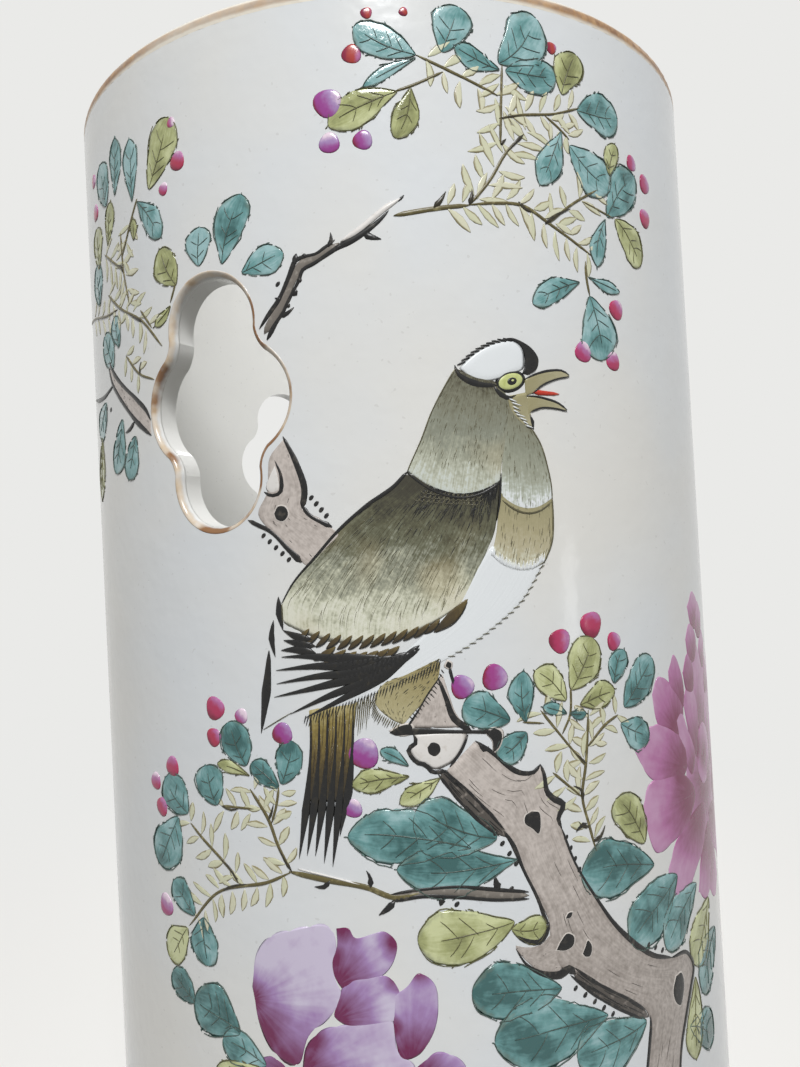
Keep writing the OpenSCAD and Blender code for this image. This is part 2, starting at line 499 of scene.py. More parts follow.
class Enamel:
    """Gathers closed pads of one enamel on the tube's wall, and makes them one piece."""

    def __init__(self, lift):
        self.lift = lift / MM
        self.points = []
        self.brush = []
        self.tints = []
        self.faces = []
        self.count = 0

    def add(self, s, z, lift, u, v, tint):
        """Keep some points of the unrolled wall, and give their numbers in the shape of s."""
        shape = s.shape
        flat = [np.broadcast_to(part, shape).ravel() for part in (s, z, lift, u, v)]
        self.points.append(np.stack(flat[:3], axis=1))
        self.brush.append(np.stack(flat[3:], axis=1))
        self.tints.append(np.full(s.size, tint))
        numbers = np.arange(s.size).reshape(shape) + self.count
        self.count += s.size
        return numbers

    def pad(self, s, z, lift, u, v, tint=0.5, wide=False):
        """Close a grid of points over the wall: its first and last columns lie at SINK, and a bottom
        joins them, with a point under every second column where the pad is wide."""
        ds, dz = np.gradient(s), np.gradient(z)
        if (ds[0] * dz[1] - dz[0] * ds[1]).sum() < 0:
            s, z, lift, u, v = [np.broadcast_to(part, s.shape)[:, ::-1] for part in (s, z, lift, u, v)]
        top = self.add(s, z, lift, u, v, tint)
        floor = top[:, [0, -1]]
        if wide:
            inner = np.arange(2, s.shape[1] - 2, 2)
            spread = [np.broadcast_to(part, s.shape)[:, inner] for part in (s, z, SINK, u, v)]
            under = self.add(*spread, tint)
            floor = np.concatenate([top[:, :1], under, top[:, -1:]], axis=1)
        self.quads(top)
        self.quads(floor[:, ::-1])
        self.faces.append(top[0].tolist() + floor[0, 1:-1][::-1].tolist())
        self.faces.append(top[-1][::-1].tolist() + floor[-1, 1:-1].tolist())

    def quads(self, grid):
        """Add the faces of a grid of point numbers."""
        corners = np.stack([grid[:-1, :-1], grid[1:, :-1], grid[1:, 1:], grid[:-1, 1:]], axis=-1)
        self.faces += corners.reshape(-1, 4).tolist()

    def disc(self, outline, centre, height, u, v, rings, dome, tint=0.5):
        """Dome over a closed outline: rings shrink from the outline to its centre, and their lift is height
        times the root of one minus the ring's size to the power dome, so a large power gives a flat top."""
        turn = outline[:, 0] * np.roll(outline[:, 1], -1) - outline[:, 1] * np.roll(outline[:, 0], -1)
        if turn.sum() < 0:
            outline = outline[::-1]
        out = 1 - np.linspace(0, 1, rings + 1)[:-1, None] ** 1.5
        s = centre[0] + out * (outline[None, :, 0] - centre[0])
        z = centre[1] + out * (outline[None, :, 1] - centre[1])
        lift = SINK + (height - SINK) * np.sqrt(1 - out**dome) + 0 * s
        grid = self.add(s, z, lift, u(s, z, out), v(s, z, out), tint)
        middle = np.array([centre[0]]), np.array([centre[1]])
        peak = self.add(*middle, np.array([height]), u(*middle, 0.0), v(*middle, 0.0), tint)[0]
        ring = np.concatenate([grid, grid[:, :1]], axis=1)
        self.quads(ring.T)
        cap = np.stack([ring[-1, :-1], ring[-1, 1:], np.full(grid.shape[1], peak)], axis=1)
        self.faces += cap.tolist()
        self.faces.append(grid[0][::-1].tolist())

    def ribbon(self, path, half, lift=None):
        """Brush line: a low ridge along a path, with half the width on each side; its top is flat over the
        inner four fifths and falls straight to SINK."""
        rise = self.lift if lift is None else lift
        side = side_of(path)
        across = np.array([-1.0, -0.8, 0.8, 1.0])
        s = path[:, :1] + side[:, :1] * half[:, None] * across
        z = path[:, 1:] + side[:, 1:] * half[:, None] * across
        tall = np.array([SINK, rise, rise, SINK]) + 0 * s
        u = np.linspace(0, 1, len(path))[:, None] + 0 * s
        self.pad(s, z, tall, u, across / 2 + 0.5 + 0 * s)

    def stroke(self, points, width, taper=0.3, lift=None):
        """Brush line through points; width is one value or one for each point, thinned at both ends."""
        count = int(np.clip(length_of(points) / 0.7, 5, 70))
        path = curve(points, count)
        t = np.linspace(0, 1, count)
        widths = np.broadcast_to(np.asarray(width, float), len(points))
        body = np.interp(t, np.linspace(0, 1, len(points)), widths)
        ends = np.minimum(np.minimum(t, 1 - t) / taper, 1.0)
        self.ribbon(path, body / 2 * (0.12 + 0.88 * ends**0.7), lift)

    def piece(self, name, finish):
        """Wrap the gathered pads round the tube: at angle s/R, on radius R plus the lift."""
        s, z, lift = (np.concatenate(self.points) * MM).T
        radius = TUBE_R + lift
        angle = s / TUBE_R
        places = np.stack([radius * np.sin(angle), -radius * np.cos(angle), LIP_Z + z], axis=1)
        mesh = bpy.data.meshes.new(name)
        mesh.from_pydata(places.tolist(), [], self.faces)
        return dress(mesh, name, finish, np.concatenate(self.brush), np.concatenate(self.tints))

    def inked(self, name, tone, thin):
        """The same in a dry-brushed ink."""
        return self.piece(name, ink_finish(name, tone, thin))

    def plumed(self, name, stops, hairs, **touch):
        """The same in graded plumage."""
        return self.piece(name, plumage_finish(name, stops, hairs, **touch))


def level(s, z, out):
    """Brush value that is 0 everywhere."""
    return 0 * s


def ringed(s, z, out):
    """Brush value that is 1 at an outline and 0 in its middle."""
    return out + 0 * s


def dress(mesh, name, finish, brush, tints=None):
    """Give a mesh its brush map, its tints and its finish, and fix it on the stand."""
    corners = np.empty(len(mesh.loops), np.int32)
    mesh.loops.foreach_get("vertex_index", corners)
    layer = mesh.uv_layers.new(name=BRUSH_UV)
    layer.data.foreach_set("uv", brush[corners].astype(np.float32).ravel())
    if tints is not None:
        attribute = mesh.attributes.new(TINT, "FLOAT", "POINT")
        attribute.data.foreach_set("value", tints.astype(np.float32))
    mesh.polygons.foreach_set("use_smooth", np.ones(len(mesh.polygons), bool))
    mesh.update()
    mesh.materials.append(finish)
    piece = bpy.data.objects.new(name, mesh)
    bpy.context.scene.collection.objects.link(piece)
    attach(piece, "root")
    return piece


LEAF_COLUMNS = 7
EDGE_SAMPLES = 200


class Leaf:
    """A leaf on the unrolled wall: from base to tip, widest past the middle, bent to one side."""

    def __init__(self, base, tip, width, rng, plump=1.5, bend=None):
        self.base = np.array(base, float)
        run = np.array(tip, float) - self.base
        self.long = float(np.hypot(*run))
        self.way = run / self.long
        self.side = np.array([-self.way[1], self.way[0]])
        self.width = width
        self.plump = plump
        self.blunt = float(np.interp(width / self.long, [0.3, 0.65], [0.8, 0.48]))
        self.bend = rng.uniform(-0.07, 0.07) if bend is None else bend
        self.waves = rng.uniform(0, FULL_TURN, 4)

    def at(self, u, v):
        """Along u from 0 to 1, across v from -1 to 1; half the width is sin(pi u^plump)^blunt of the whole,
        with a slow wave on each side. A broad leaf is blunt and a narrow one is pointed."""
        hump = np.maximum(np.sin(math.pi * np.clip(u, 0, 1) ** self.plump), 0)
        half = self.width / 2 * hump**self.blunt
        left, right = [
            1 + 0.08 * np.sin(6 * u + slow) + 0.03 * np.sin(15 * u + quick)
            for slow, quick in self.waves.reshape(2, 2)
        ]
        across = v * (half * np.where(v < 0, left, right) + 0.04)
        across = across + self.bend * self.long * 4 * u * (1 - u)
        along = u * self.long
        s = self.base[0] + self.way[0] * along + self.side[0] * across
        z = self.base[1] + self.way[1] * along + self.side[1] * across
        return s, z

    def wash(self, layer, rise, tint, rows=13):
        """Enamel on the whole leaf; its lift is the root of one minus the sixth power of v."""
        across = np.sin(np.linspace(-math.pi / 2, math.pi / 2, LEAF_COLUMNS))
        u, v = np.meshgrid(ease(np.linspace(0, 1, rows)), across, indexing="ij")
        s, z = self.at(u, v)
        lift = SINK + (rise - SINK) * np.sqrt(1 - v**6)
        layer.pad(s, z, lift, u, v / 2 + 0.5, tint)

    def line(self, layer, u, v, width, rng):
        """Ink line through the leaf's own coordinates, pressed harder in its middle."""
        s, z = self.at(u, v)
        t = np.linspace(0, 1, len(u))
        press = 0.35 + 0.65 * np.sin(math.pi * t) ** 0.6 + rng.uniform(-0.12, 0.12, len(u))
        layer.ribbon(np.stack([s, z], axis=1), width / 2 * press)

    def veins(self, layer, rng, width=0.2):
        """Broken outline with ticks on it, a midrib and a few side veins."""
        for side in (-1, 1):
            cuts = np.sort(rng.uniform(0.2, 0.8, 2))
            for start, end in zip([0.02, *(cuts + 0.02)], [*(cuts - 0.02), 0.99]):
                u = ease(np.linspace(start, end, max(5, int(self.long * (end - start) / 0.6))))
                edge = side * (1.0 + rng.normal(0, 0.03, len(u)))
                self.line(layer, u, edge, width * rng.uniform(0.6, 1.1), rng)
        ticks = np.array([0.0, 0.5, 1.0])
        for u in 1 - 0.8 * rng.uniform(0, 1, 2 + int(self.long * 0.7)) ** 1.5:
            side = rng.choice([-1, 1])
            reach = rng.uniform(0.15, 0.4) / self.width
            self.line(layer, u + reach * 0.8 * ticks, side * (0.96 + 2.2 * reach * ticks), width * 0.8, rng)
        rib = np.linspace(0.02, rng.uniform(0.7, 0.9), 9)
        bow = rng.uniform(-0.08, 0.08) + 0.06 * np.sin(4 * rib + self.waves[0])
        self.line(layer, rib, bow, width * 0.9, rng)
        if self.width < 3:
            return
        for start in np.arange(0.2, 0.72, max(0.2, 2.2 / self.long)):
            for side in (-1, 1):
                t = np.linspace(0, rng.uniform(0.5, 0.95), 5)
                first = start + rng.normal(0, 0.03)
                self.line(layer, first + 0.2 * t, side * 0.8 * t**0.8, width * 0.75, rng)


class Loft:
    """A patch between two edge curves, P(u, v) = (1 - v) first(u) + v second(u), whose foot bulges by sag:
    4 v (1 - v) u^3 sag is added."""

    def __init__(self, first, second, sag=(0.0, 0.0)):
        self.t = np.linspace(0, 1, EDGE_SAMPLES)
        self.first = curve(first, EDGE_SAMPLES)
        self.second = curve(second, EDGE_SAMPLES)
        self.sag = sag

    def at(self, u, v):
        """Place of the point at u along the patch and v across it."""
        bulge = 4 * v * (1 - v) * u**3
        first, second = [
            [np.interp(u, self.t, edge[:, axis]) for axis in (0, 1)] for edge in (self.first, self.second)
        ]
        return [(1 - v) * a + v * b + bulge * sag for a, b, sag in zip(first, second, self.sag)]

    def wash(self, layer, rise, rows, columns=13):
        """Enamel on the whole patch; its lift is the root of one minus the sixteenth power of the way from
        the middle to an edge, so it is flat up to a narrow fall."""
        across = 0.5 - 0.5 * np.cos(np.linspace(0, math.pi, columns))
        u, v = np.meshgrid(np.linspace(0, 1, rows), across, indexing="ij")
        s, z = self.at(u, v)
        ends = np.minimum(1, 1.5 * rows * np.minimum(u, 1 - u) + 0.2)
        lift = SINK + (rise - SINK) * np.sqrt(1 - np.abs(2 * v - 1) ** 16) * ends
        layer.pad(s, z, lift, u, v, wide=True)

    def row(self, u, count, v_range=(0.0, 1.0)):
        """Points across the patch at one place along it."""
        v = np.linspace(*v_range, count)
        return np.stack(self.at(u + 0 * v, v), axis=1)

    def hairs(self, layer, count, reach, width, rng, lift, u_range=(0, 1), v_range=(0.02, 0.98)):
        """Fine hairs along u at random places of the patch."""
        for _ in range(count):
            start = rng.uniform(u_range[0], max(u_range[1] - reach, u_range[0] + 0.01))
            v = rng.uniform(*v_range)
            u = np.linspace(start, min(start + reach * rng.uniform(0.6, 1.2), 1), 5)
            s, z = self.at(u, v + rng.normal(0, 0.008) * np.linspace(0, 1, 5))
            press = width / 2 * np.array([0.5, 1, 0.9, 0.6, 0.25])
            layer.ribbon(np.stack([s, z], axis=1), press, lift)


# Leaves: base, tip and width in millimetres on the unrolled wall.
TEAL_LEAVES = [
    # Spray under the lip, right of the front line
    ((6, -12), (-3, -7.5), 5.5), ((6, -12.5), (-2, -16.5), 2), ((10, -11.5), (13, -4.5), 6),
    ((19, -13.5), (12, -10.5), 3.5), ((19, -12.5), (26, -4.5), 7.5), ((20, -13.5), (29, -13), 6),
    ((33, -17.5), (42.5, -16.5), 7), ((29.5, -21.5), (25, -30.5), 4.5), ((31, -23.5), (39.5, -29), 7),
    ((38.5, -33.5), (46.5, -25), 7), ((38, -34), (35.5, -42), 3.5), ((31.5, -45), (22.5, -49), 4),
    ((33.5, -44), (40.5, -45.5), 2), ((33.5, -47), (35.5, -57), 7.5),
    # Spray at the left of the upper window
    ((-46, -25), (-46, -14.5), 4.5), ((-52, -22), (-51, -12.5), 4.5),
    ((-56, -22.5), (-58.5, -14.5), 6.5), ((-44.5, -25.5), (-38.5, -33), 4.5),
    ((-62.5, -38.5), (-63.5, -31), 6.5), ((-53, -48), (-54.5, -42.5), 4), ((-56, -51), (-60, -44.5), 6),
    ((-61, -56.5), (-67.5, -61.5), 6), ((-53, -60.5), (-57, -69.5), 5.5),
    ((-48.5, -64), (-51.5, -71), 5),
    # Over the upper window
    ((-30.5, -39.5), (-30, -33.5), 5), ((-26, -40), (-22, -30), 6), ((-22.5, -42), (-15.5, -40), 4.5),
    # Middle of the trunk, to its left
    ((12, -128.5), (0, -124), 8.5), ((8, -129.5), (-10, -127), 8.5), ((15, -132), (-3, -132), 7.5),
    ((-0.5, -117), (-4.5, -114.5), 2), ((21, -152), (7, -150.5), 8.5), ((29, -158), (10, -158), 10.5),
    ((37, -161.5), (23, -163), 9),
    # Spray to the right of the trunk
    ((15, -111.5), (8, -108.5), 5.5), ((17.5, -112), (17.5, -104.5), 4),
    ((17.5, -113.5), (13, -117), 4.5), ((24.5, -111.5), (20.5, -110), 2),
    ((25, -111.5), (28, -112), 1.5), ((34, -108), (36.5, -103), 4), ((36, -112), (43.5, -105), 6.5),
    ((35, -114.5), (41.5, -118), 5), ((41, -138), (25.5, -136), 9),
    ((47.5, -141.5), (34.5, -148.5), 9.5), ((54.5, -145), (43, -152), 8),
    ((64, -156), (54.5, -163.5), 9), ((49, -167), (59, -173), 6.5),
    # Spray to the left, over the front peony
    ((-26, -117), (-29, -110.5), 6), ((-32, -123.5), (-34, -117.5), 6.5),
    ((-38.5, -125.5), (-44, -120.5), 7), ((-41, -126.5), (-47, -135), 7.5),
    ((-20.5, -120), (-25, -116.5), 3.5), ((-20, -119.5), (-18, -113), 4.5),
    ((-38, -141.5), (-43, -137), 5), ((-36, -141.5), (-35.5, -149), 6),
    ((-29.5, -158), (-39, -155), 8.5), ((-25, -162), (-33, -159.5), 5.5),
    ((-39, -155.5), (-44.5, -152), 5.5),
    # Lower part
    ((-22, -170), (-37, -172), 7.5), ((-18, -176), (-28, -186), 7), ((2, -176), (13, -184), 7),
    ((27, -186), (14, -192), 7), ((22, -214), (9, -209), 6.5), ((19, -230), (5, -233), 7),
    ((52, -208), (64, -202), 6.5), ((53, -232), (66, -236), 7), ((24, -258), (10, -256), 6.5),
    ((43, -262), (56, -258), 6.5),
]

LIME_LEAVES = [
    ((3, -17.5), (-7.5, -22), 5.5), ((5, -17), (2.5, -24.5), 4), ((30, -15.5), (33.5, -8.5), 5.5),
    ((39.5, -26.5), (41.5, -21), 3.5), ((40.5, -33.5), (47, -40), 6), ((-41, -24.5), (-35.5, -14.5), 7),
    ((-56, -29.5), (-54, -22.5), 4), ((-61.5, -32), (-62, -24.5), 6), ((-46, -31.5), (-46, -28), 2),
    ((-65.5, -62), (-69, -73), 6), ((-35.5, -41.5), (-39, -35), 5.5), ((-37, -44.5), (-41, -47), 2),
    ((-0.5, -118.5), (-9, -119.5), 3.5), ((4, -119), (-2, -122.5), 3), ((14, -141), (-0.5, -142.5), 8.5),
    ((13.5, -142), (19, -142.5), 4), ((24.5, -109.5), (19.5, -104.5), 4.5),
    ((25.5, -108), (30, -100.5), 6.5), ((27, -110.5), (34, -109), 4), ((39, -134), (33, -126), 6.5),
    ((60.5, -149.5), (51.5, -157.5), 8.5), ((52, -160), (50.5, -173), 6.5),
    ((-40, -144), (-45, -150), 5.5), ((-25.5, -118.5), (-31.5, -117), 2),
    ((-26, -162.5), (-35, -166), 4.5), ((-6, -180), (-2, -192), 7.5), ((31, -190), (20, -200), 6.5),
    ((18.5, -222), (6, -221), 6.5), ((52.5, -222), (64, -219), 6.5), ((22, -266), (9, -268), 6.5),
]

# Stems: the width and the points that the brush passes.
STEMS = [
    (0.7, [(1.5, -36), (8.5, -35), (13, -34.5)]),
    (0.45, [(12.5, -34.5), (17, -34), (21.5, -34), (26.5, -36.5), (34.5, -40.5)]),
    (0.45, [(13, -34.5), (16.5, -30.5), (19.5, -26), (22, -23.5)]),
    (0.4, [(26, -36.5), (30.5, -33), (36.5, -29.5)]),
    (0.4, [(19.5, -12.5), (19, -18.5), (18.5, -25)]),
    (0.4, [(18.5, -21), (22.5, -20), (28, -19), (33.5, -17)]),
    (0.3, [(26.5, -19.5), (29, -21), (31, -22.5)]),
    (0.4, [(6, -12), (11.5, -14.5), (15, -16), (18.5, -17.5)]),
    (0.35, [(2.5, -17.5), (5.5, -16.5), (10, -14.5)]),
    (0.4, [(33, -41.5), (33, -44), (33.5, -47)]),
    (0.3, [(33, -32), (40, -33.5)]),
    (0.4, [(-44.5, -25), (-47, -28.5), (-50, -33)]),
    (0.4, [(-50.5, -29), (-50, -35.5), (-48.5, -41.5)]),
    (0.4, [(-58, -30.5), (-54, -33), (-50, -35.5)]),
    (0.45, [(-57, -38), (-52, -41.5), (-44.5, -45.5), (-39.5, -50.5)]),
    (0.4, [(-78, -38), (-68, -39.5), (-56.5, -41.5), (-53, -41.5)]),
    (0.4, [(-45, -43.5), (-42, -47)]),
    (0.4, [(-50.5, -50), (-46, -54), (-42, -55.5)]),
    (0.35, [(-35.5, -41), (-37, -44)]),
    (0.45, [(28.5, -133), (27.5, -129), (26.5, -124.5), (27.5, -119.5), (28.5, -111.5)]),
    (0.4, [(26.5, -124.5), (21.5, -120)]),
    (0.4, [(27.5, -120), (23.5, -115), (20, -110.5)]),
    (0.4, [(28, -117), (32, -114), (34.5, -113)]),
    (0.35, [(25.5, -107.5), (25, -112), (23.5, -114.5)]),
    (0.3, [(17, -112), (20.5, -112.5)]),
    (0.45, [(-19, -132.5), (-21, -129), (-22.5, -125), (-25.5, -120.5)]),
    (0.4, [(-22, -125.5), (-21, -122.5), (-20.5, -120)]),
    (0.45, [(-19, -132.5), (-23.5, -134.5), (-28, -135.5), (-31.5, -136.5), (-39.5, -143.5)]),
    (0.4, [(-28.5, -134.5), (-32, -131.5), (-35.5, -129), (-38, -127)]),
    (0.4, [(-25, -123.5), (-27.5, -123.5), (-31, -123.5)]),
    (0.75, [(-19.5, -132.5), (-13.5, -133.5), (-7.5, -134.5), (-3.5, -136), (0, -135.5)]),
    (0.35, [(30, -189), (22, -188), (27, -186)]),
]

# Thorns and dark nodes on the stems: from the wide foot to the point, or along a node.
THORNS = [
    (1.2, [(7.5, -35), (8.5, -34), (9.5, -32.5)]), (1.1, [(13, -34.5), (13.5, -33), (13.5, -32)]),
    (0.8, [(21, -33.5), (22, -34.5), (23.5, -35)]), (0.9, [(25.5, -36.5), (27.5, -35), (30.5, -33.5)]),
    (0.8, [(18.5, -25), (19, -24.5), (19.5, -24)]), (0.7, [(22.5, -23), (21, -24.5), (19.5, -26)]),
    (0.5, [(18.5, -21), (20.5, -20.5), (22.5, -20)]),
    (0.9, [(26.5, -125), (26.5, -123.5), (25, -122.5)]),
    (0.9, [(28, -131.5), (29.5, -131), (30.5, -129.5)]),
    (0.7, [(27.5, -129), (26.5, -129), (25.5, -128)]),
    (0.6, [(27.5, -119.5), (26.5, -118.5), (25.5, -117.5)]),
    (0.7, [(-19, -132.5), (-20, -131), (-21, -129)]),
    (0.6, [(-22.5, -125), (-22, -124), (-21.5, -122.5)]),
    (0.5, [(-31, -123.5), (-29, -124), (-27.5, -123.5)]),
    (0.6, [(-31.5, -136.5), (-29, -135.5), (-26.5, -135)]),
    (0.5, [(-28.5, -135), (-30, -133), (-32, -131.5)]), (0.6, [(-50, -36), (-51, -34.5), (-52.5, -34)]),
    (0.7, [(-44.5, -45.5), (-46.5, -44.5), (-48.5, -43.5)]),
    (0.6, [(-46, -54), (-46, -53), (-45.5, -52)]),
]

# Fronds: the leaflets' length, and the stem points that carry pairs of them.
FRONDS = [
    (4.5, [(7.5, -12.5), (12, -15), (18, -17.5)]),
    (5, [(19, -15.5), (19, -18.5), (18.5, -24.5)]),
    (5.5, [(14, -33.5), (16.5, -30.5), (19.5, -26), (23, -22.5)]),
    (4, [(20, -20.5), (25, -19.5), (31, -18)]),
    (4.5, [(9.5, -35), (15, -34), (21.5, -34), (26.5, -36.5), (33.5, -40)]),
    (4.5, [(27, -36), (30.5, -33), (35.5, -30)]),
    (3.5, [(27.5, -20), (30.5, -22)]),
    (4.5, [(-57.5, -31), (-54, -33), (-50, -35.5), (-48.5, -41.5)]),
    (4, [(-47, -28.5), (-50, -34)]),
    (4.5, [(-57, -38.5), (-52, -41.5), (-45, -45), (-43.5, -46.5)]),
    (4, [(-68, -39.5), (-58, -41.5)]),
    (3.5, [(-50.5, -50), (-48.5, -52), (-46.5, -53.5)]),
    (4, [(-20, -131.5), (-21, -129), (-22.5, -125), (-25, -121)]),
    (4, [(-29, -134), (-32, -131.5), (-35.5, -129), (-38, -127)]),
    (4, [(-20.5, -133), (-23.5, -134.5), (-28, -135.5), (-31.5, -136.5), (-37.5, -141.5)]),
    (3.5, [(-21.5, -124.5), (-20.5, -121)]),
    (4, [(-25.5, -124), (-30.5, -124)]),
    (4, [(28, -131.5), (26.5, -124.5), (27.5, -119.5), (28.5, -112.5)]),
    (4, [(26, -124), (22, -120.5)]),
    (4, [(27, -119), (23.5, -115), (20.5, -111)]),
    (3.5, [(29, -116.5), (32, -114), (34, -113)]),
]

# Berries: place, radius, how pale (0 to 1), and the hue: mauve (0), crimson (0.5) or vermilion (1).
BERRIES = [
    (-1, -5.5, 0.9, 0.25, 1), (4.5, -5.5, 0.7, 0.25, 1), (-3.5, -11.5, 1.5, 0.35, 0.9),
    (28.5, -8.5, 1, 0.3, 0.9), (-7.5, -18.5, 2.2, 0.55, 0), (-7.5, -24.5, 1.6, 0.65, 0),
    (-2.5, -24.5, 1.5, 0.45, 0.05), (46, -23, 1.4, 0.55, 0.35), (50, -25.5, 1.7, 0.5, 0.35),
    (49.5, -31.5, 1.7, 0.45, 0.4), (39.5, -48.5, 1.7, 0.5, 0.5), (31.5, -56, 1.7, 0.6, 0.35),
    (38, -57, 1.6, 0.55, 0.4), (-35, -15.5, 0.9, 0.7, 0.4), (-34, -22, 1.6, 0.45, 0.7),
    (-37.5, -25.5, 1.1, 0.65, 0.4), (-63, -15.5, 1.3, 0.5, 0.5), (-62.5, -21.5, 1.6, 0.45, 0.5),
    (-7, -115, 2.3, 0.5, 0.1), (-9, -123, 1.4, 0.6, 0.1), (8, -106, 1.8, 0.5, 0.1),
    (13, -105, 2, 0.45, 0.2), (24, -100.5, 1.9, 0.45, 0.4), (30, -98.5, 2.1, 0.35, 0.45),
    (34.5, -101.5, 1.5, 0.5, 0.4), (-31.5, -108.5, 1.9, 0.4, 0.6), (-32, -113, 1.5, 0.4, 0.7),
    (-26.5, -109.5, 1.2, 0.75, 0.3), (-19.5, -112, 1.7, 0.35, 0.15), (-42, -118.5, 1.7, 0.4, 0.6),
    (-47, -121.5, 1.5, 0.6, 0.4), (-45.5, -125.5, 1.6, 0.4, 0.6), (-45.5, -141.5, 1.9, 0.65, 0.3),
    (9, -203, 1.8, 0.4, 0.4), (4, -227, 1.7, 0.45, 0.5), (67, -212, 1.8, 0.4, 0.3),
]
BERRY_POINTS = 20
BERRY_LIGHT = 45
BERRY_FADE = 0.45

# Edges of the trunk and the branches, from top to foot.
TRUNK_LEFT = [
    (5, -118), (7.5, -121.5), (11.5, -125.5), (14, -129), (16, -134), (18, -138.5), (19.5, -142),
    (19.5, -145), (21, -149), (23.5, -150.5), (27.5, -153.5), (33, -157), (37, -160), (38, -162),
    (37.5, -165), (36.5, -169), (34, -178), (30.5, -190), (27, -202),
]
TRUNK_RIGHT = [
    (9.5, -114), (12, -116), (14, -118), (16.5, -119.5), (18.5, -119.5), (19.5, -118.5), (20, -120),
    (20.5, -123), (21.5, -124), (23, -125), (22, -127), (22.5, -128.5), (24.5, -134), (28, -140),
    (31.5, -145), (35.5, -149), (39.5, -152), (44.5, -154), (49.5, -155), (51.5, -158), (50, -161),
    (48, -164.5), (46, -168.5), (44.5, -176), (43.5, -186), (43.5, -195), (44.5, -202),
]
TRUNK_TIP_LEFT = [(5, -104), (3, -106.5), (1, -109.5), (-0.5, -111.5)]
TRUNK_TIP_RIGHT = [(5.2, -104), (6, -107), (7, -110), (8.5, -112)]
ROOT_LEFT = [(25.5, -247), (24, -254), (22, -262), (18.5, -272), (13, -281)]
ROOT_RIGHT = [(45, -247), (43, -254), (43, -262), (46, -272), (52, -281)]
FORK_UPPER = [(14, -144.5), (15.5, -145), (18, -145), (20, -143.5)]
FORK_LOWER = [(14, -145), (15.5, -147), (18.5, -149.5), (21.5, -150)]
LEFT_BRANCH_UPPER = [(-58, -49.5), (-56.5, -51.5), (-52, -55), (-47.5, -58), (-44.5, -60.5), (-43.5, -62)]
LEFT_BRANCH_LOWER = [(-58.5, -50.5), (-57, -53.5), (-54.5, -56), (-51, -59), (-48, -61.5), (-43.5, -64.5)]
PERCH_LEFT = [
    (-17, -68), (-19.5, -70.8), (-19.8, -73), (-20, -75.5), (-21.8, -79), (-20, -81.5), (-17, -84.5),
    (-14, -87.5),
]
PERCH_RIGHT = [(-16.5, -68), (-15, -72), (-14, -76), (-14.5, -78.5), (-12, -80), (-8.5, -83)]
WINDOW_BOUGHS = [
    (3.6, [(31, -197), (25.5, -204.5), (20, -214), (17.5, -224), (19, -236), (24, -245), (29, -252)]),
    (3.6, [(41, -197), (45, -204.5), (49.5, -214), (51.5, -224), (50, -236), (46.5, -245), (41, -252)]),
]

# Shaded strips along the trunk's left side: widths, and the points that the brush passes.
SHADED_STRIPS = [
    ([0.9, 1.9, 2, 1], [(4, -118), (7, -121.5), (10.5, -125.5), (13.5, -128.5)]),
    ([1.2, 1.7, 1.9, 1.3], [(23, -150), (27.5, -154), (32.5, -157.5), (37.5, -161)]),
    ([0.5, 1.4, 1.4, 0.6], [(36.5, -171.5), (34.5, -179), (32, -187), (29.5, -195)]),
    ([0.6, 1.4, 1.2, 0.6], [(24.5, -250), (23, -258), (20, -267), (15, -277)]),
]

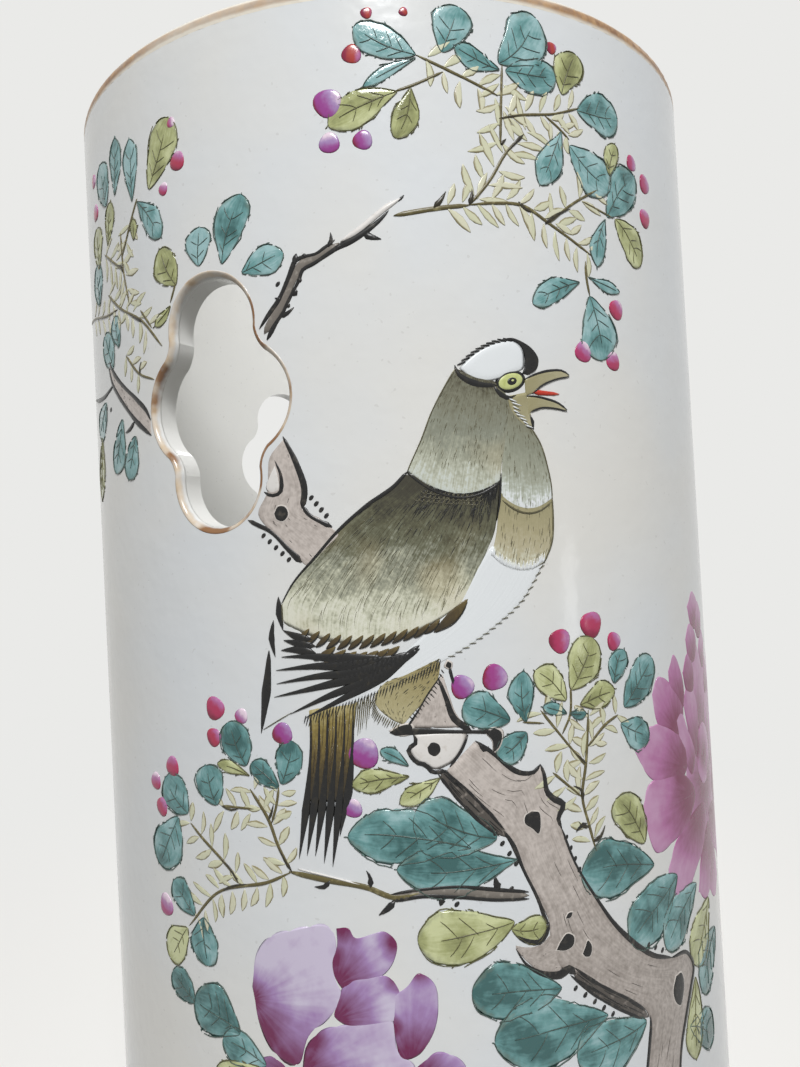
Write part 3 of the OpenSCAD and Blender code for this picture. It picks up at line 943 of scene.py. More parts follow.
# Bold brush lines of the trunk and the branches: widths and points.
BOLD_LINES = [
    ([0.5, 0.8, 0.5, 0.5, 0.6, 0.7],
     [(13, -127.5), (14, -129), (16, -134), (18, -138.5), (19, -141.5), (19.5, -142.5)]),
    ([0.3, 0.8, 1, 0.9, 0.6], [(14, -143), (15.5, -144), (18, -144.5), (19, -143.5), (19.5, -142)]),
    ([0.2, 0.35, 0.7, 1.2, 1.5, 1.2],
     [(14, -145), (15.5, -147.5), (18.5, -149.5), (21, -150), (22.5, -149.5), (23.5, -150.5)]),
    ([0.7, 0.6, 0.6, 0.5, 0.5], [(38, -161), (38, -162.5), (37.5, -165), (34, -178), (27, -202)]),
    ([0.3, 0.7, 0.5, 0.9, 0.7, 0.5], TRUNK_RIGHT[:6]),
    ([0.4, 0.7, 0.9, 1.1, 1.1, 0.9, 0.5], TRUNK_RIGHT[5:12]),
    ([0.5, 0.4, 0.5, 0.7, 1, 0.9, 0.5], TRUNK_RIGHT[11:18]),
    ([0.5, 0.7, 0.8, 0.9, 0.8, 0.6, 0.5], TRUNK_RIGHT[17:24]),
    ([0.5, 0.7, 0.5, 0.6], TRUNK_RIGHT[23:]),
    ([0.4, 0.6, 0.5, 0.6, 0.5], ROOT_LEFT),
    ([0.4, 0.6, 0.5, 0.6, 0.5], ROOT_RIGHT),
    # Cup and tip under the bird
    ([1.2, 1.1, 0.6, 0.5, 0.7], [(-3, -112), (-1, -112), (0.5, -112), (7, -112.5), (13, -113)]),
    ([0.5, 0.7, 0.7, 0.6, 0.7, 0.7, 0.6, 0.9],
     [(0.4, -112.4), (0.8, -113.6), (-0.4, -114.6), (0, -115.8), (0.8, -116.6), (2, -117), (2.8, -118),
      (5, -118)]),
    ([0.35, 0.5, 0.45], [(8.5, -113), (7.5, -115), (5.5, -117.5)]),
    ([0.5, 0.8, 1.1, 1], [(4.5, -104.5), (5.5, -107.5), (6.5, -110.5), (9, -112.5)]),
    ([0.15, 0.25, 0.25, 0.4], TRUNK_TIP_LEFT),
    ([0.6, 0.5, 0.7], [(6.2, -102.6), (6.4, -104), (7.2, -106.6)]),
    ([0.5, 0.8, 0.3], [(10, -114.5), (11, -115.5), (11.5, -115)]),
    # Perch branch
    ([0.4, 0.9, 1.1, 1], [(-17, -67.5), (-15, -72), (-14, -76), (-14.5, -78.5)]),
    ([0.8, 0.6, 0.6, 1.1], [(-14.5, -78), (-13.5, -79.5), (-12, -80.5), (-10, -81.5)]),
    ([0.7, 0.7, 0.6, 0.8, 1.3],
     [(-23.5, -79.7), (-22, -80.5), (-20, -81.5), (-17, -84.5), (-15, -86.5)]),
    ([0.2, 0.5, 0.8, 0.6, 0.5],
     [(-18.5, -71), (-17.6, -73.6), (-18, -76), (-19.6, -76.2), (-20.5, -75.6)]),
    ([0.5, 0.9, 0.7, 0.7, 0.9, 0.5], LEFT_BRANCH_UPPER),
    ([0.4, 0.8, 0.9, 0.7, 1.1, 0.6], LEFT_BRANCH_LOWER),
    # Twig over the upper window
    ([0.4, 0.7, 0.8, 0.7, 0.8, 0.9, 0.7, 0.5, 0.6, 0.4],
     [(-20, -51), (-18.2, -48.8), (-16.6, -47), (-15.4, -45), (-14.4, -43), (-13.6, -41.4),
      (-12.2, -41), (-10.4, -40.8), (-9, -40), (-7.4, -39)]),
    ([1, 0.8, 0.5, 0.6, 0.5, 0.6, 0.6, 0.6, 0.7, 0.8],
     [(-18.8, -52.8), (-17.2, -50.4), (-16, -49), (-15.2, -47.6), (-14.2, -46), (-13.2, -44.4),
      (-12.6, -43), (-10.8, -42.2), (-8.6, -41), (-6, -39.6)]),
    ([0.9, 0.7, 0.2], [(-16.6, -49.6), (-15.4, -49.2), (-14.2, -48.4)]),
    ([0.9, 0.6], [(-15.4, -47.8), (-14.8, -48.2)]),
    ([1, 1.2, 0.7], [(-14.4, -45.8), (-14, -46.2), (-13.6, -46.6)]),
    ([0.9, 0.7], [(-13.4, -44.6), (-12.8, -44.2)]),
    ([0.8, 0.5, 0.2], [(-16.2, -47), (-16.8, -46.8), (-17.2, -46.6)]),
    ([0.8, 1, 0.5], [(-13.8, -42), (-13.6, -41), (-13.4, -40.4)]),
    ([0.8, 0.4], [(-12.4, -41), (-12, -40.6)]),
    ([1.1, 0.6, 0.2], [(-8.4, -40), (-8, -39), (-8, -37.8)]),
    ([0.6, 1.1, 1, 0.7, 0.3], [(-8, -40.6), (-3.6, -38.6), (-2, -37.6), (-0.4, -36.4), (0.8, -35.2)]),
    ([1.5, 0.9, 0.2], [(-3.2, -38.4), (-2.2, -38.9), (-0.5, -39.4)]),
    ([0.2, 0.4, 0.2], [(2.2, -33.9), (2.8, -33.4), (3.2, -33)]),
    # Twig to the left of the trunk
    ([0.4, 0.5, 0.5, 0.6, 0.5], [(-4, -135.5), (0.5, -135), (6, -135), (11.5, -136), (16.5, -137)]),
    ([0.7, 0.6, 0.6, 0.5, 0.4], [(-4, -136.5), (0.5, -136), (6, -136.5), (11.5, -137.5), (16.5, -138)]),
    ([0.9, 0.7, 0.2], [(-13, -133.5), (-14, -134.5), (-15.5, -134.5)]),
    ([0.2, 0.6, 1.3], [(-7.5, -132), (-7, -133), (-7, -134.5)]),
    ([1.2, 0.9, 0.3], [(-3.5, -136.5), (-4.5, -137.5), (-6, -138.5)]),
    ([0.3, 0.9, 1.6], [(11.5, -134), (11.5, -135), (12, -136)]),
    ([1.3, 0.4], [(3.5, -136.5), (3, -137.5)]),
    ([0.9, 0.7, 0.2], [(27, -128.5), (25.5, -129), (25, -129.5)]),
    ([0.5, 0.9, 0.8, 0.4], [(-72, -54), (-66, -55), (-61, -55), (-56.5, -54)]),
    ([0.9, 0.8, 0.3], [(-48.5, -61.5), (-50, -62.5), (-52, -63)]),
]

# Solid knots and blobs: outlines.
KNOTS = [
    [(17.6, -125), (19, -125.4), (19.2, -126.6), (18.6, -129), (17.6, -128), (16.2, -126.8),
     (16.4, -125.6)],
    [(20.2, -146.4), (21.2, -145), (22.4, -144), (23.8, -144.8), (23.6, -146.2), (22, -146.8)],
    [(24.8, -147.8), (25.4, -146.8), (26, -145.8), (26.8, -147), (26.2, -148.6), (25.2, -148.4)],
    [(22.2, -142), (22.8, -141.2), (23.6, -141.2), (23.2, -142)],
    [(2.2, -114.4), (3, -113.6), (4.2, -114), (4.4, -115.2), (3.4, -116), (2.4, -115.4)],
    [(-19.2, -79), (-18.4, -77.8), (-17, -78), (-16.6, -79.4), (-17.6, -80.4), (-18.8, -80)],
    [(45.2, -157), (47.2, -157), (48, -159), (47.4, -161.4), (46.4, -162.8), (44.8, -161.8),
     (44, -159.4)],
    [(-3, -111.8), (-1.4, -111), (0.4, -111), (0.6, -112), (-1.2, -112.6)],
    [(11, -113), (12.4, -112.2), (13.6, -112.8), (13, -115.6), (12.2, -116.2), (12, -114.2)],
    [(6, -102), (6.6, -102.4), (6.4, -103.2), (5.6, -102.8)],
    [(36, -174.5), (37.2, -176), (36, -178), (34.8, -176)],
    [(33, -260), (34.4, -262), (33, -264.6), (31.6, -262)],
]

# Rows of moss dots beside the bark: first dot, last dot and how many.
MOSS_ROWS = [
    ((11.8, -127.8), (14.8, -132.6), 4), ((23.2, -130), (25.2, -135.2), 4),
    ((23.4, -152.6), (30, -158.2), 5), ((13.8, -136.2), (13.8, -136.2), 1),
    ((5.5, -137.5), (5.5, -137.5), 1), ((-21, -82.2), (-17, -86), 5), ((-13, -77), (-10.8, -79.8), 4),
    ((-61, -57.5), (-58.5, -58), 2), ((-16.6, -44.6), (-16.6, -44.6), 1), ((38.5, -150), (42, -152), 3),
    ((34.5, -172.5), (33.2, -177.5), 3),
]
MOSS_POINTS = 12
MOSS_LONG = 0.35
MOSS_WIDE = 0.224

# Grey twig cores, cream lights and the pale cup and cut on the branches.
TWIG_CORES = [
    ([1.2, 1.4, 1.2, 1.2, 1.2, 1.4, 1.2, 1.1, 0.7],
     [(-19.2, -51.8), (-17.4, -49.4), (-15.8, -47.4), (-14.8, -45.4), (-13.6, -43.4), (-12.8, -42.2),
      (-11, -41.5), (-8.8, -40.6), (-6.8, -39.5)]),
    ([0.9, 1, 1.1, 1.1, 0.8], [(-4, -136), (0.5, -135.5), (6, -135.8), (11.5, -136.8), (16.5, -137.5)]),
]
CREAM_LIGHTS = [
    (0.9, [(-6.6, -39.4), (-3.6, -37.7), (-1.3, -36), (0.5, -34.7), (2.6, -33.5)]),
    (0.25, [(-18, -132), (-12.8, -133), (-8.6, -134)]),
]
PALE_CUP = [
    (0.4, -112.4), (0.6, -113.6), (-0.4, -114.6), (0, -115.8), (0.8, -116.6), (2, -117), (3, -117.8),
    (5, -117.4), (6.4, -116.6), (7.6, -115), (8.4, -113), (4.4, -112.4),
]
PALE_CUT = [(-18.5, -71.5), (-18, -73.5), (-18.2, -75.8), (-19.6, -76), (-20.2, -75.4), (-19.6, -73.4)]

# Plumage: the two edges of each patch, from the head down, and how far its foot bulges.
HOOD_LEFT = [(9.5, -59), (7.5, -62), (5.5, -65.5), (4, -69), (2.5, -72), (1.5, -74)]
HOOD_RIGHT = [(15.5, -61), (17.5, -63.5), (17.5, -66.5), (17, -69.5), (16, -73), (15.5, -76)]
HOOD_SAG = (0, -3)
THROAT_LEFT = [(17, -64), (17, -66.5), (16.5, -69.5), (16, -73), (15.5, -78.5)]
THROAT_RIGHT = [(21, -68), (22.5, -70.5), (23.5, -74), (24, -77), (24, -79)]
THROAT_SAG = (0, -2)
BREAST_LEFT = [(15.5, -77.5), (15, -80), (14.5, -83.5), (13.5, -87)]
BREAST_RIGHT = [(24, -78.5), (24, -81.5), (23.5, -85.5), (22, -88.5)]
BREAST_SAG = (0, -2)
WING_LEFT = [
    (1.5, -74), (-0.5, -76), (-4.5, -78.5), (-9, -82), (-13, -86), (-16.5, -89.5), (-18.5, -92.5),
    (-18.5, -95.5),
]
WING_RIGHT = [(15.5, -76), (15, -79.5), (14, -84), (12.5, -87), (11, -90), (9, -93.5)]
WING_SAG = (0, -4.5)
WING_FRONT = [(15.7, -74.8), (15.5, -76.4), (15.2, -79.2), (14.6, -81.8)]
WING_TIP = [(-17.8, -108.8), (-20.4, -110.2), (-22.6, -111.4)]
WING_FOOT = [(4, -97.5), (1.5, -98.2), (-2, -98.8), (-5.5, -99.2), (-9, -99.2), (-12, -98.8), (-15.5, -98)]
LONG_FEATHER = ((9.5, -93.2), (4.2, -97.8), 1.7)
SECOND_ROW = [(-2.5, -100.5), (-5.5, -101), (-9, -101), (-12, -100.2)]
BELLY_LEFT = [(13.5, -85.5), (11, -89), (8.5, -93), (4, -97), (-1, -101), (-7, -104.5), (-13.5, -108.5)]
BELLY_RIGHT = [(22, -88.5), (18, -94), (13.5, -97.5), (9.5, -100), (5.5, -102), (-0.5, -104.5), (-9, -108)]
THIGH_LEFT = [(5, -101.5), (0, -103.5), (-4.5, -105.5), (-5, -107.5), (-3.5, -109.5), (-2, -110.5)]
THIGH_RIGHT = [(5, -102), (4.5, -104.5), (3, -107), (1.5, -108.5), (0, -110), (-1, -111)]
TAIL_LEFT = [(-15, -108.5), (-15.2, -114), (-15.8, -119), (-16.2, -122)]
TAIL_RIGHT = [(-7.5, -107), (-8.5, -113), (-9.5, -118), (-10, -122)]
TAIL_ROOT = (-14.7, -109)
TAIL_STEP = (1.3, 0.3)
TAIL_TIPS = (-130.5, -130, -130, -131, -131.5, -127)
FLIGHT_BLADES = [
    [(-3.5, -101), (-9.5, -101), (-14.5, -100.5), (-19, -100.5)],
    [(-1.5, -101), (-8, -102), (-14, -102), (-20, -102.5)],
    [(0.5, -100.5), (-7, -103), (-13.5, -103.5), (-20, -104.5)],
    [(1, -100.5), (-6.5, -103.5), (-13, -105), (-20.5, -106.5)],
    [(2, -100), (-5, -104), (-12, -106.5), (-18, -109)],
    [(2, -99.5), (-4, -104), (-10, -107), (-15.5, -109.5)],
]
SIDE_BLADES = [
    (1.3, [(-19, -91.5), (-19, -94), (-18.5, -96.5)]),
    (1.1, [(-20, -95), (-20.5, -97.5), (-20, -100.5)]),
    (1.7, [(-21, -99.5), (-21.5, -103.5), (-23, -112)]),
]
SHOULDER_TIPS = [
    [(-14, -98), (-16.5, -97.5), (-18.5, -96.5)],
    [(-13.5, -99), (-16.5, -98.5), (-18.5, -98)],
    [(-13.5, -100), (-16, -99.5), (-19, -99.5)],
]
CROWN = [
    (10, -59), (11, -58), (13.2, -56.4), (16, -55.2), (19, -54.8), (20.4, -56), (20.6, -57.6),
    (20.4, -59), (18.6, -59.8), (16.4, -60.6), (13.4, -61), (11.4, -60.4),
]
FOREHEAD_OUTER = [(17, -54.6), (18.6, -54.4), (20.4, -55), (22, -56), (23, -57.6), (22.6, -59), (21, -60)]
FOREHEAD_INNER = [
    (17, -55), (18.4, -54.8), (19.8, -55.4), (20.4, -56.4), (20.6, -57.8), (20.4, -59), (20, -59.8),
]
UPPER_BEAK_TOP = [(20.4, -60.6), (22.4, -59.8), (25, -59.2), (27.2, -59.2), (28.4, -59.8)]
UPPER_BEAK_FOOT = [(20.4, -63.2), (21.6, -62.8), (23.2, -61.6), (25.6, -60.6), (28.4, -60)]
LOWER_BEAK_TOP = [(20.4, -63.2), (21.6, -63.2), (24, -63.6), (26, -64.2), (27.6, -65.2)]
LOWER_BEAK_FOOT = [(20.4, -66.6), (21.2, -65.6), (22.8, -65), (25.2, -65), (27.6, -65.4)]
CHIN_LEFT = [(17.5, -63.2), (17.5, -64.4), (18.2, -66), (19.6, -67.4), (20.8, -68)]
CHIN_RIGHT = [(20.6, -62.6), (20.8, -63.6), (21, -65), (21.2, -66.4), (21.2, -68)]
CHIN_TIP = [(20.9, -66), (21.3, -67.1), (21.4, -68.3)]
TONGUE = [(21.7, -62.6), (24, -62.7), (26.3, -62.8)]
UNDER_CROWN = [(9.4, -58.5), (9.8, -59.7), (11.2, -60.8), (13.4, -61.5), (15.8, -61.6)]
UNDER_EYE = [(15.2, -61.6), (16.2, -62.9), (17.8, -63.5), (18.8, -63)]
EYE = (18, -61)
PUPIL = (18.2, -61)
GLINT = (18.3, -60.9)
EYE_TILT = 16
EYE_POINTS = 40
CROWN_POINTS = 48
BARBS = 8
BARB_TOP = (17.6, -63.6)
BARB_RUN = (2.4, -4)

# Petals: order over the glaze, outline, then the dark hearts as place and reach.
FRONT_PETALS = [
    (0,
     [(-27, -150.5), (-26, -145.5), (-23.5, -142.5), (-19.5, -141), (-13, -140.5), (-12.5, -143.5),
      (-13, -146.5), (-12.5, -149), (-12, -150), (-14.5, -154), (-17.5, -156.5), (-20, -161.5),
      (-23, -160.5), (-26, -156)], [(-27, -152.5, 4.5), (-25.5, -157.5, 7), (-21.5, -162.5, 9)]),
    (1,
     [(-12.5, -140.5), (-10.5, -140.5), (-10, -141.5), (-5, -141), (-3.5, -142.5), (-4, -145),
      (-5.5, -147), (-7.5, -148), (-10.5, -148.5), (-11.5, -149.5), (-13, -148), (-13.5, -145.5),
      (-12.5, -143)], [(-13, -149, 7), (-13.5, -145, 3.5), (-11.5, -140, 3.5), (-3.5, -142.5, 3)]),
    (3,
     [(-19, -162), (-18, -158), (-15.5, -155.5), (-12, -154.5), (-8, -154), (-5, -153.5), (-4, -158.5),
      (-2, -160), (-2.5, -165), (-6, -168.5), (-11, -169.5), (-16.5, -167.5)],
     [(-19.5, -162.5, 8), (-17.5, -157, 3.5), (-10, -171, 6)]),
    (2,
     [(-13, -151.5), (-11.5, -148.5), (-8.5, -147.5), (-5, -147.5), (-3.5, -149.5), (-4, -153.5),
      (-8, -154.5), (-12, -154.5), (-13.5, -153.5)], [(-13.5, -154, 6.5), (-3.5, -147.5, 2.5)]),
    (4,
     [(-4.5, -150), (-2.5, -149), (-0.5, -147), (1.5, -148.5), (2, -152), (1, -156), (-1.5, -159),
      (-3.5, -159.5), (-4.5, -156.5)], [(-2.5, -160.5, 8.5), (-5, -155, 3), (-0.5, -146, 3)]),
    (0,
     [(-27, -161.5), (-23.5, -160.5), (-21, -162.5), (-19.5, -165), (-17, -168.5), (-17.5, -173),
      (-21.5, -174), (-25.5, -171), (-27.5, -166)], [(-19, -163.5, 9)]),
    (1,
     [(-16.5, -169), (-11, -170.5), (-6, -169.5), (-3, -166.5), (-1.5, -170.5), (-4, -176.5),
      (-9.5, -179), (-14.5, -177), (-17, -172.5)], [(-10, -169.5, 9)]),
    (2, [(-1.5, -160.5), (1.5, -158.5), (5, -160), (6, -165), (3.5, -170), (-0.5, -171), (-2, -166)],
     [(-2, -163.5, 8)]),
]
SIDE_PETALS = [
    (1, [(58, -98), (61.5, -95.5), (65, -98), (63, -102), (60, -102)], [(62, -102, 5)]),
    (2, [(56, -103.5), (58.5, -101), (62.5, -104), (60.5, -108), (57.5, -107.5)], [(60, -108, 5.5)]),
    (3, [(54, -109), (56.5, -106), (59.5, -109), (58.5, -113), (55.5, -112.5)], [(58, -113, 6)]),
    (0, [(59, -107), (61.5, -104.5), (65, -110), (64, -120), (60.5, -119), (58.5, -112)],
     [(62, -120, 9)]),
    (0, [(48.5, -108), (50.5, -105.5), (53.5, -109), (54, -114), (51.5, -117), (49, -113)],
     [(53, -115.5, 7)]),
    (1, [(53.5, -114), (56, -111), (59.5, -113), (61, -119), (59, -125), (55.5, -120)], [(59, -124, 9)]),
    (1,
     [(43, -111), (45, -108.5), (49.5, -110.5), (53.5, -115), (52, -119), (48.5, -120), (44, -115.5)],
     [(50.5, -118.5, 8)]),
    (2, [(50, -116), (51.5, -115), (55, -119), (58, -124), (56, -127), (52.5, -123)], [(57, -127, 6)]),
    (1, [(55.5, -147), (57.5, -142), (64, -136.5), (66, -144), (59.5, -149.5)], [(62, -138, 9)]),
    (2,
     [(45, -140), (47, -137), (53, -133.5), (62.5, -133.5), (61, -139), (55, -143), (50, -146),
      (45.5, -143.5)], [(57.5, -134, 9)]),
    (4,
     [(39, -128.5), (40.5, -125.5), (45, -124.5), (51.5, -125.5), (57, -130.5), (53.5, -134),
      (47, -136), (42, -136.5), (40, -133)], [(55, -130, 9), (51, -126, 4)]),
    (3,
     [(38, -119.5), (39.5, -117), (44, -116), (50.5, -118.5), (55, -123), (53, -126), (46, -126.5),
      (40.5, -123.5)], [(52.5, -125, 9), (47, -127, 3.5)]),
]
# The side peony's far half mirrors the near one across this axis, moved by a little.
FLOWER_AXIS = 63
FAR_MOVE = (0.5, -2)
PETAL_POINTS = 72
HEART_FALL = 1.1
FLOWER_BACK = (
    [(54, -123), (63, -120), (72, -123), (74, -130), (71, -137), (63, -140), (55, -137), (52, -130)],
    [(63, -129, 9)],
)
FLOWER_HEART = (
    [(59.5, -121), (63, -119), (67, -121), (68.5, -125), (66, -129), (62, -130), (59, -127)],
    [(63, -125, 4), (59.5, -123, 3), (66.5, -128.5, 3)],
)


def kit(context, step):
    """Sizes, colours and random numbers for one step of the painting."""
    scene = context.scene
    return scene.hatstand_sizes, scene.hatstand_colours, np.random.default_rng(SEEDS[step])


def lay_leaves(washes, ink, leaves, depths, rng):
    """Lay leaf washes, each a hair over the one before, with one depth of colour near the lip and another
    lower down, and ink their outlines and veins."""
    for number, (base, tip, width) in enumerate(leaves):
        leaf = Leaf(base, tip, width, rng)
        deep = np.interp(-tip[1], [20, 150], depths)
        leaf.wash(washes, washes.lift * (0.8 + 0.05 * (number % 9)), deep + rng.uniform(-0.25, 0.25))
        leaf.veins(ink, rng)


class HATSTAND_OT_porcelain(bpy.types.Operator):
    """Glaze the drums and the floor, and wash the lip brown"""

    bl_idname = "hatstand.porcelain"
    bl_label = "Glazed porcelain"

    def execute(self, context):
        colours = context.scene.hatstand_colours
        glaze = glaze_finish(colours)
        finishes = dict.fromkeys(("lower_drum", "upper_drum", "base_slab", "slip_fillet"), glaze)
        finishes["lip_dressing"] = lip_finish(colours)
        for name, finish in finishes.items():
            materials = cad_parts[name].data.materials
            materials.clear()
            materials.append(finish)
        return {"FINISHED"}


WINDOW_HALF_WIDTH = 13.0
WINDOW_HALF_HEIGHT = 19.5
END_LOBE = 7.6
SIDE_LOBE = 8.5
NOTCH = 6.0
NOTCH_BITE = 0.1
WINDOW_TURNS = {
    "upper_edge_front": -27.5,
    "upper_edge_right": 92.5,
    "upper_edge_back": 212.5,
    "lower_edge_front": 32.5,
    "lower_edge_back": 152.5,
    "lower_edge_left": 272.5,
}
EDGE_POINTS = 280
SECTION_POINTS = 9


def window_reach(ring, grow):
    """Distance in millimetres from a window's middle to its outline at each angle, grown outwards: the
    farther of the end lobe and the side lobe, and between the two the near side of the circle that rounds
    the notch."""
    end = np.array([0.0, WINDOW_HALF_HEIGHT - END_LOBE])
    side = np.array([WINDOW_HALF_WIDTH - SIDE_LOBE, 0.0])
    gap = np.hypot(*(side - end))
    end_arm, side_arm = END_LOBE + NOTCH - NOTCH_BITE, SIDE_LOBE + NOTCH - NOTCH_BITE
    swing = math.acos((end_arm**2 + gap**2 - side_arm**2) / (2 * end_arm * gap))
    slope = math.atan2(-end[1], side[0]) + swing
    notch = end + end_arm * np.array([math.cos(slope), math.sin(slope)])
    ray = np.abs(np.stack([np.cos(ring), np.sin(ring)], axis=-1))

    def hit(middle, radius, far):
        """Distance at which each ray leaves a circle (far 1) or enters it (far -1), 0 where it misses."""
        along = (ray @ middle)[:, None]
        room = radius[None] ** 2 - middle @ middle + along**2
        return np.where(room > 0, along + far * np.sqrt(np.maximum(room, 0)), 0)

    def turn(point):
        """Angle of each point about the window's middle."""
        return np.arctan2(point[:, 1], point[:, 0])

    lobes = np.maximum(hit(end, END_LOBE + grow, 1), hit(side, SIDE_LOBE + grow, 1))
    first = turn(side + (SIDE_LOBE + grow)[:, None] * (notch - side) / side_arm)
    last = turn(end + (END_LOBE + grow)[:, None] * (notch - end) / end_arm)
    angle = np.arctan2(ray[:, 1], ray[:, 0])[:, None]
    between = (angle > first) & (angle < last)
    return np.maximum(lobes, np.where(between, hit(notch, NOTCH - grow, -1), 0))


def window_edge_mesh(name, turn, height, width, depth):
    """Rounded edge of a lobed window: its section is a quarter ellipse from the face to the cut, closed by
    the rebate in the wall, and it is carried round the window's outline and laid on the tube's curve."""
    ring = np.linspace(0, FULL_TURN, EDGE_POINTS, endpoint=False)
    sweep = np.linspace(0, math.pi / 2, SECTION_POINTS)
    grow = np.concatenate([width * (1 - np.sin(sweep)), [width]]) / MM
    deep = np.concatenate([depth * (1 - np.cos(sweep)), [depth]])
    reach = window_reach(ring, grow) * MM
    x = np.cos(ring)[:, None] * reach
    z = np.sin(ring)[:, None] * reach + height
    out = np.sqrt((TUBE_R - deep) ** 2 - x**2)
    cos, sin = math.cos(math.radians(turn)), math.sin(math.radians(turn))
    places = np.stack([x * cos + out * sin, x * sin - out * cos, z], axis=-1)
    count, section = x.shape
    numbers = np.arange(count * section).reshape(count, section)
    after = np.roll(numbers, -1, axis=0)
    beside = np.roll(numbers, -1, axis=1)
    corner = np.roll(after, -1, axis=1)
    faces = np.stack([numbers, beside, corner, after], axis=-1).reshape(-1, 4)
    mesh = bpy.data.meshes.new(name)
    mesh.from_pydata(places.reshape(-1, 3).tolist(), [], faces.tolist())
    across = np.concatenate([np.linspace(0, 1, len(sweep)), [1.0]])
    brush = np.stack(np.broadcast_arrays(ring[:, None] / FULL_TURN, across[None]), axis=-1)
    return mesh, brush.reshape(-1, 2)


class HATSTAND_OT_window_edges(bpy.types.Operator):
    """Round the outer edges of the six windows and wash them brown"""

    bl_idname = "hatstand.window_edges"
    bl_label = "Window edges"

    def execute(self, context):
        sizes = context.scene.hatstand_sizes
        finish = edge_finish(context.scene.hatstand_colours)
        for node, turn in WINDOW_TURNS.items():
            low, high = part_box(node)
            name = "rounded_" + node
            middle = (low.z + high.z) / 2
            mesh, brush = window_edge_mesh(name, turn, middle, sizes.edge_width, sizes.edge_depth)
            piece = dress(mesh, name, finish, brush)
            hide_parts(node)
        return {"FINISHED"}


class HATSTAND_OT_trunk(bpy.types.Operator):
    """Paint the trunk, its branches, knots and black twigs"""

    bl_idname = "hatstand.trunk"
    bl_label = "Trunk and branches"

    def execute(self, context):
        sizes, colours, rng = kit(context, "trunk")
        wash, shade = Enamel(sizes.wash_lift), Enamel(sizes.wash_lift * 1.2)
        core, pale = Enamel(sizes.wash_lift * 1.2), Enamel(sizes.wash_lift * 1.4)
        rims = Enamel(sizes.wash_lift * 1.4)
        ink = Enamel(sizes.ink_lift)
        rise = wash.lift * 0.8
        patches = [
            (TRUNK_LEFT, TRUNK_RIGHT, 90),
            (TRUNK_TIP_LEFT, TRUNK_TIP_RIGHT, 14),
            (ROOT_LEFT, ROOT_RIGHT, 30),
            (FORK_UPPER, FORK_LOWER, 14),
            (LEFT_BRANCH_UPPER, LEFT_BRANCH_LOWER, 40),
            (PERCH_LEFT, PERCH_RIGHT, 30),
        ]
        for left, right, rows in patches:
            loft = Loft(left, right)
            loft.wash(wash, rise, rows=rows, columns=11)
            loft.hairs(shade, rows // 2, 0.03, 0.12, rng, None, v_range=(0.1, 0.9))
        for width, points in WINDOW_BOUGHS:
            path = curve(points, 40)
            side = side_of(path) * width / 2
            Loft(path - side, path + side).wash(wash, rise, rows=36, columns=9)
            for edge in (path - side, path + side):
                ink.stroke(edge[::5], rng.uniform(0.35, 0.8, len(edge[::5])), taper=0.05)
        for widths, points in SHADED_STRIPS:
            self.strip(shade, ink, widths, points, rng)
        for outline in (PALE_CUP, PALE_CUT):
            self.blob(pale, outline, pale.lift)
        for outline in KNOTS:
            points = np.array(outline)
            middle = points.mean(axis=0)
            reach = np.hypot(*(points - middle).T).mean()
            self.blob(rims, (middle + (points - middle) * (1 + 0.2 / reach)).tolist(), rims.lift)
            self.blob(ink, outline, ink.lift * 1.2)
        ring = np.linspace(0, FULL_TURN, MOSS_POINTS, endpoint=False)
        long, wide = MOSS_LONG * np.cos(ring), MOSS_WIDE * np.sin(ring)
        dot = np.stack([long - wide, long + wide], axis=1)
        for first, last, count in MOSS_ROWS:
            for place in np.linspace(first, last, count):
                self.blob(ink, place + dot, ink.lift, smooth=False)
        for widths, points in BOLD_LINES:
            ink.stroke(points, widths, taper=0.06)
        for widths, points in TWIG_CORES:
            core.stroke(points, widths, taper=0.05)
        for width, points in CREAM_LIGHTS:
            pale.stroke(points, width, taper=0.2, lift=ink.lift * 1.2)
        wash.piece("bark_wash", bark_finish(colours))
        shade.inked("bark_shade", pigment(84, 79, 74), pigment(142, 134, 127))
        core.inked("twig_cores", pigment(120, 114, 107), pigment(156, 150, 141))
        pale.inked("bark_lights", pigment(224, 221, 217), pigment(208, 203, 196))
        rims.inked("knot_rims", pigment(206, 199, 192), pigment(190, 181, 174))
        ink.inked("bark_ink", colours.ink, pigment(76, 72, 66))
        return {"FINISHED"}

    def blob(self, layer, outline, lift, smooth=True):
        """Flat-topped spot of enamel inside a closed outline."""
        points = np.asarray(outline, float)
        if smooth:
            points = curve([*outline, outline[0]], 5 * len(outline))[:-1]
        layer.disc(points, points.mean(axis=0), lift, level, ringed, 3, dome=8)

    def strip(self, shade, ink, widths, points, rng):
        """Dark strip along the trunk's shaded side: a grey wash, two edges and broken streaks along it."""
        shade.stroke(points, widths, taper=0.08)
        path = curve(points, 30)
        side = side_of(path)
        half = np.interp(np.linspace(0, 1, 30), np.linspace(0, 1, len(widths)), widths)[:, None] / 2
        ink.stroke((path - side * half)[::3], rng.uniform(0.3, 0.6, 10), taper=0.08)
        ink.stroke((path + side * half)[::3], rng.uniform(0.35, 0.7, 10), taper=0.08)
        for start in rng.integers(0, 22, 16):
            run = slice(start, start + 7)
            offset = rng.uniform(-0.8, 0.8)
            ink.ribbon((path + side * half * offset)[run], 0.09 * np.array([0.4, 0.8, 1, 1, 0.9, 0.7, 0.3]))


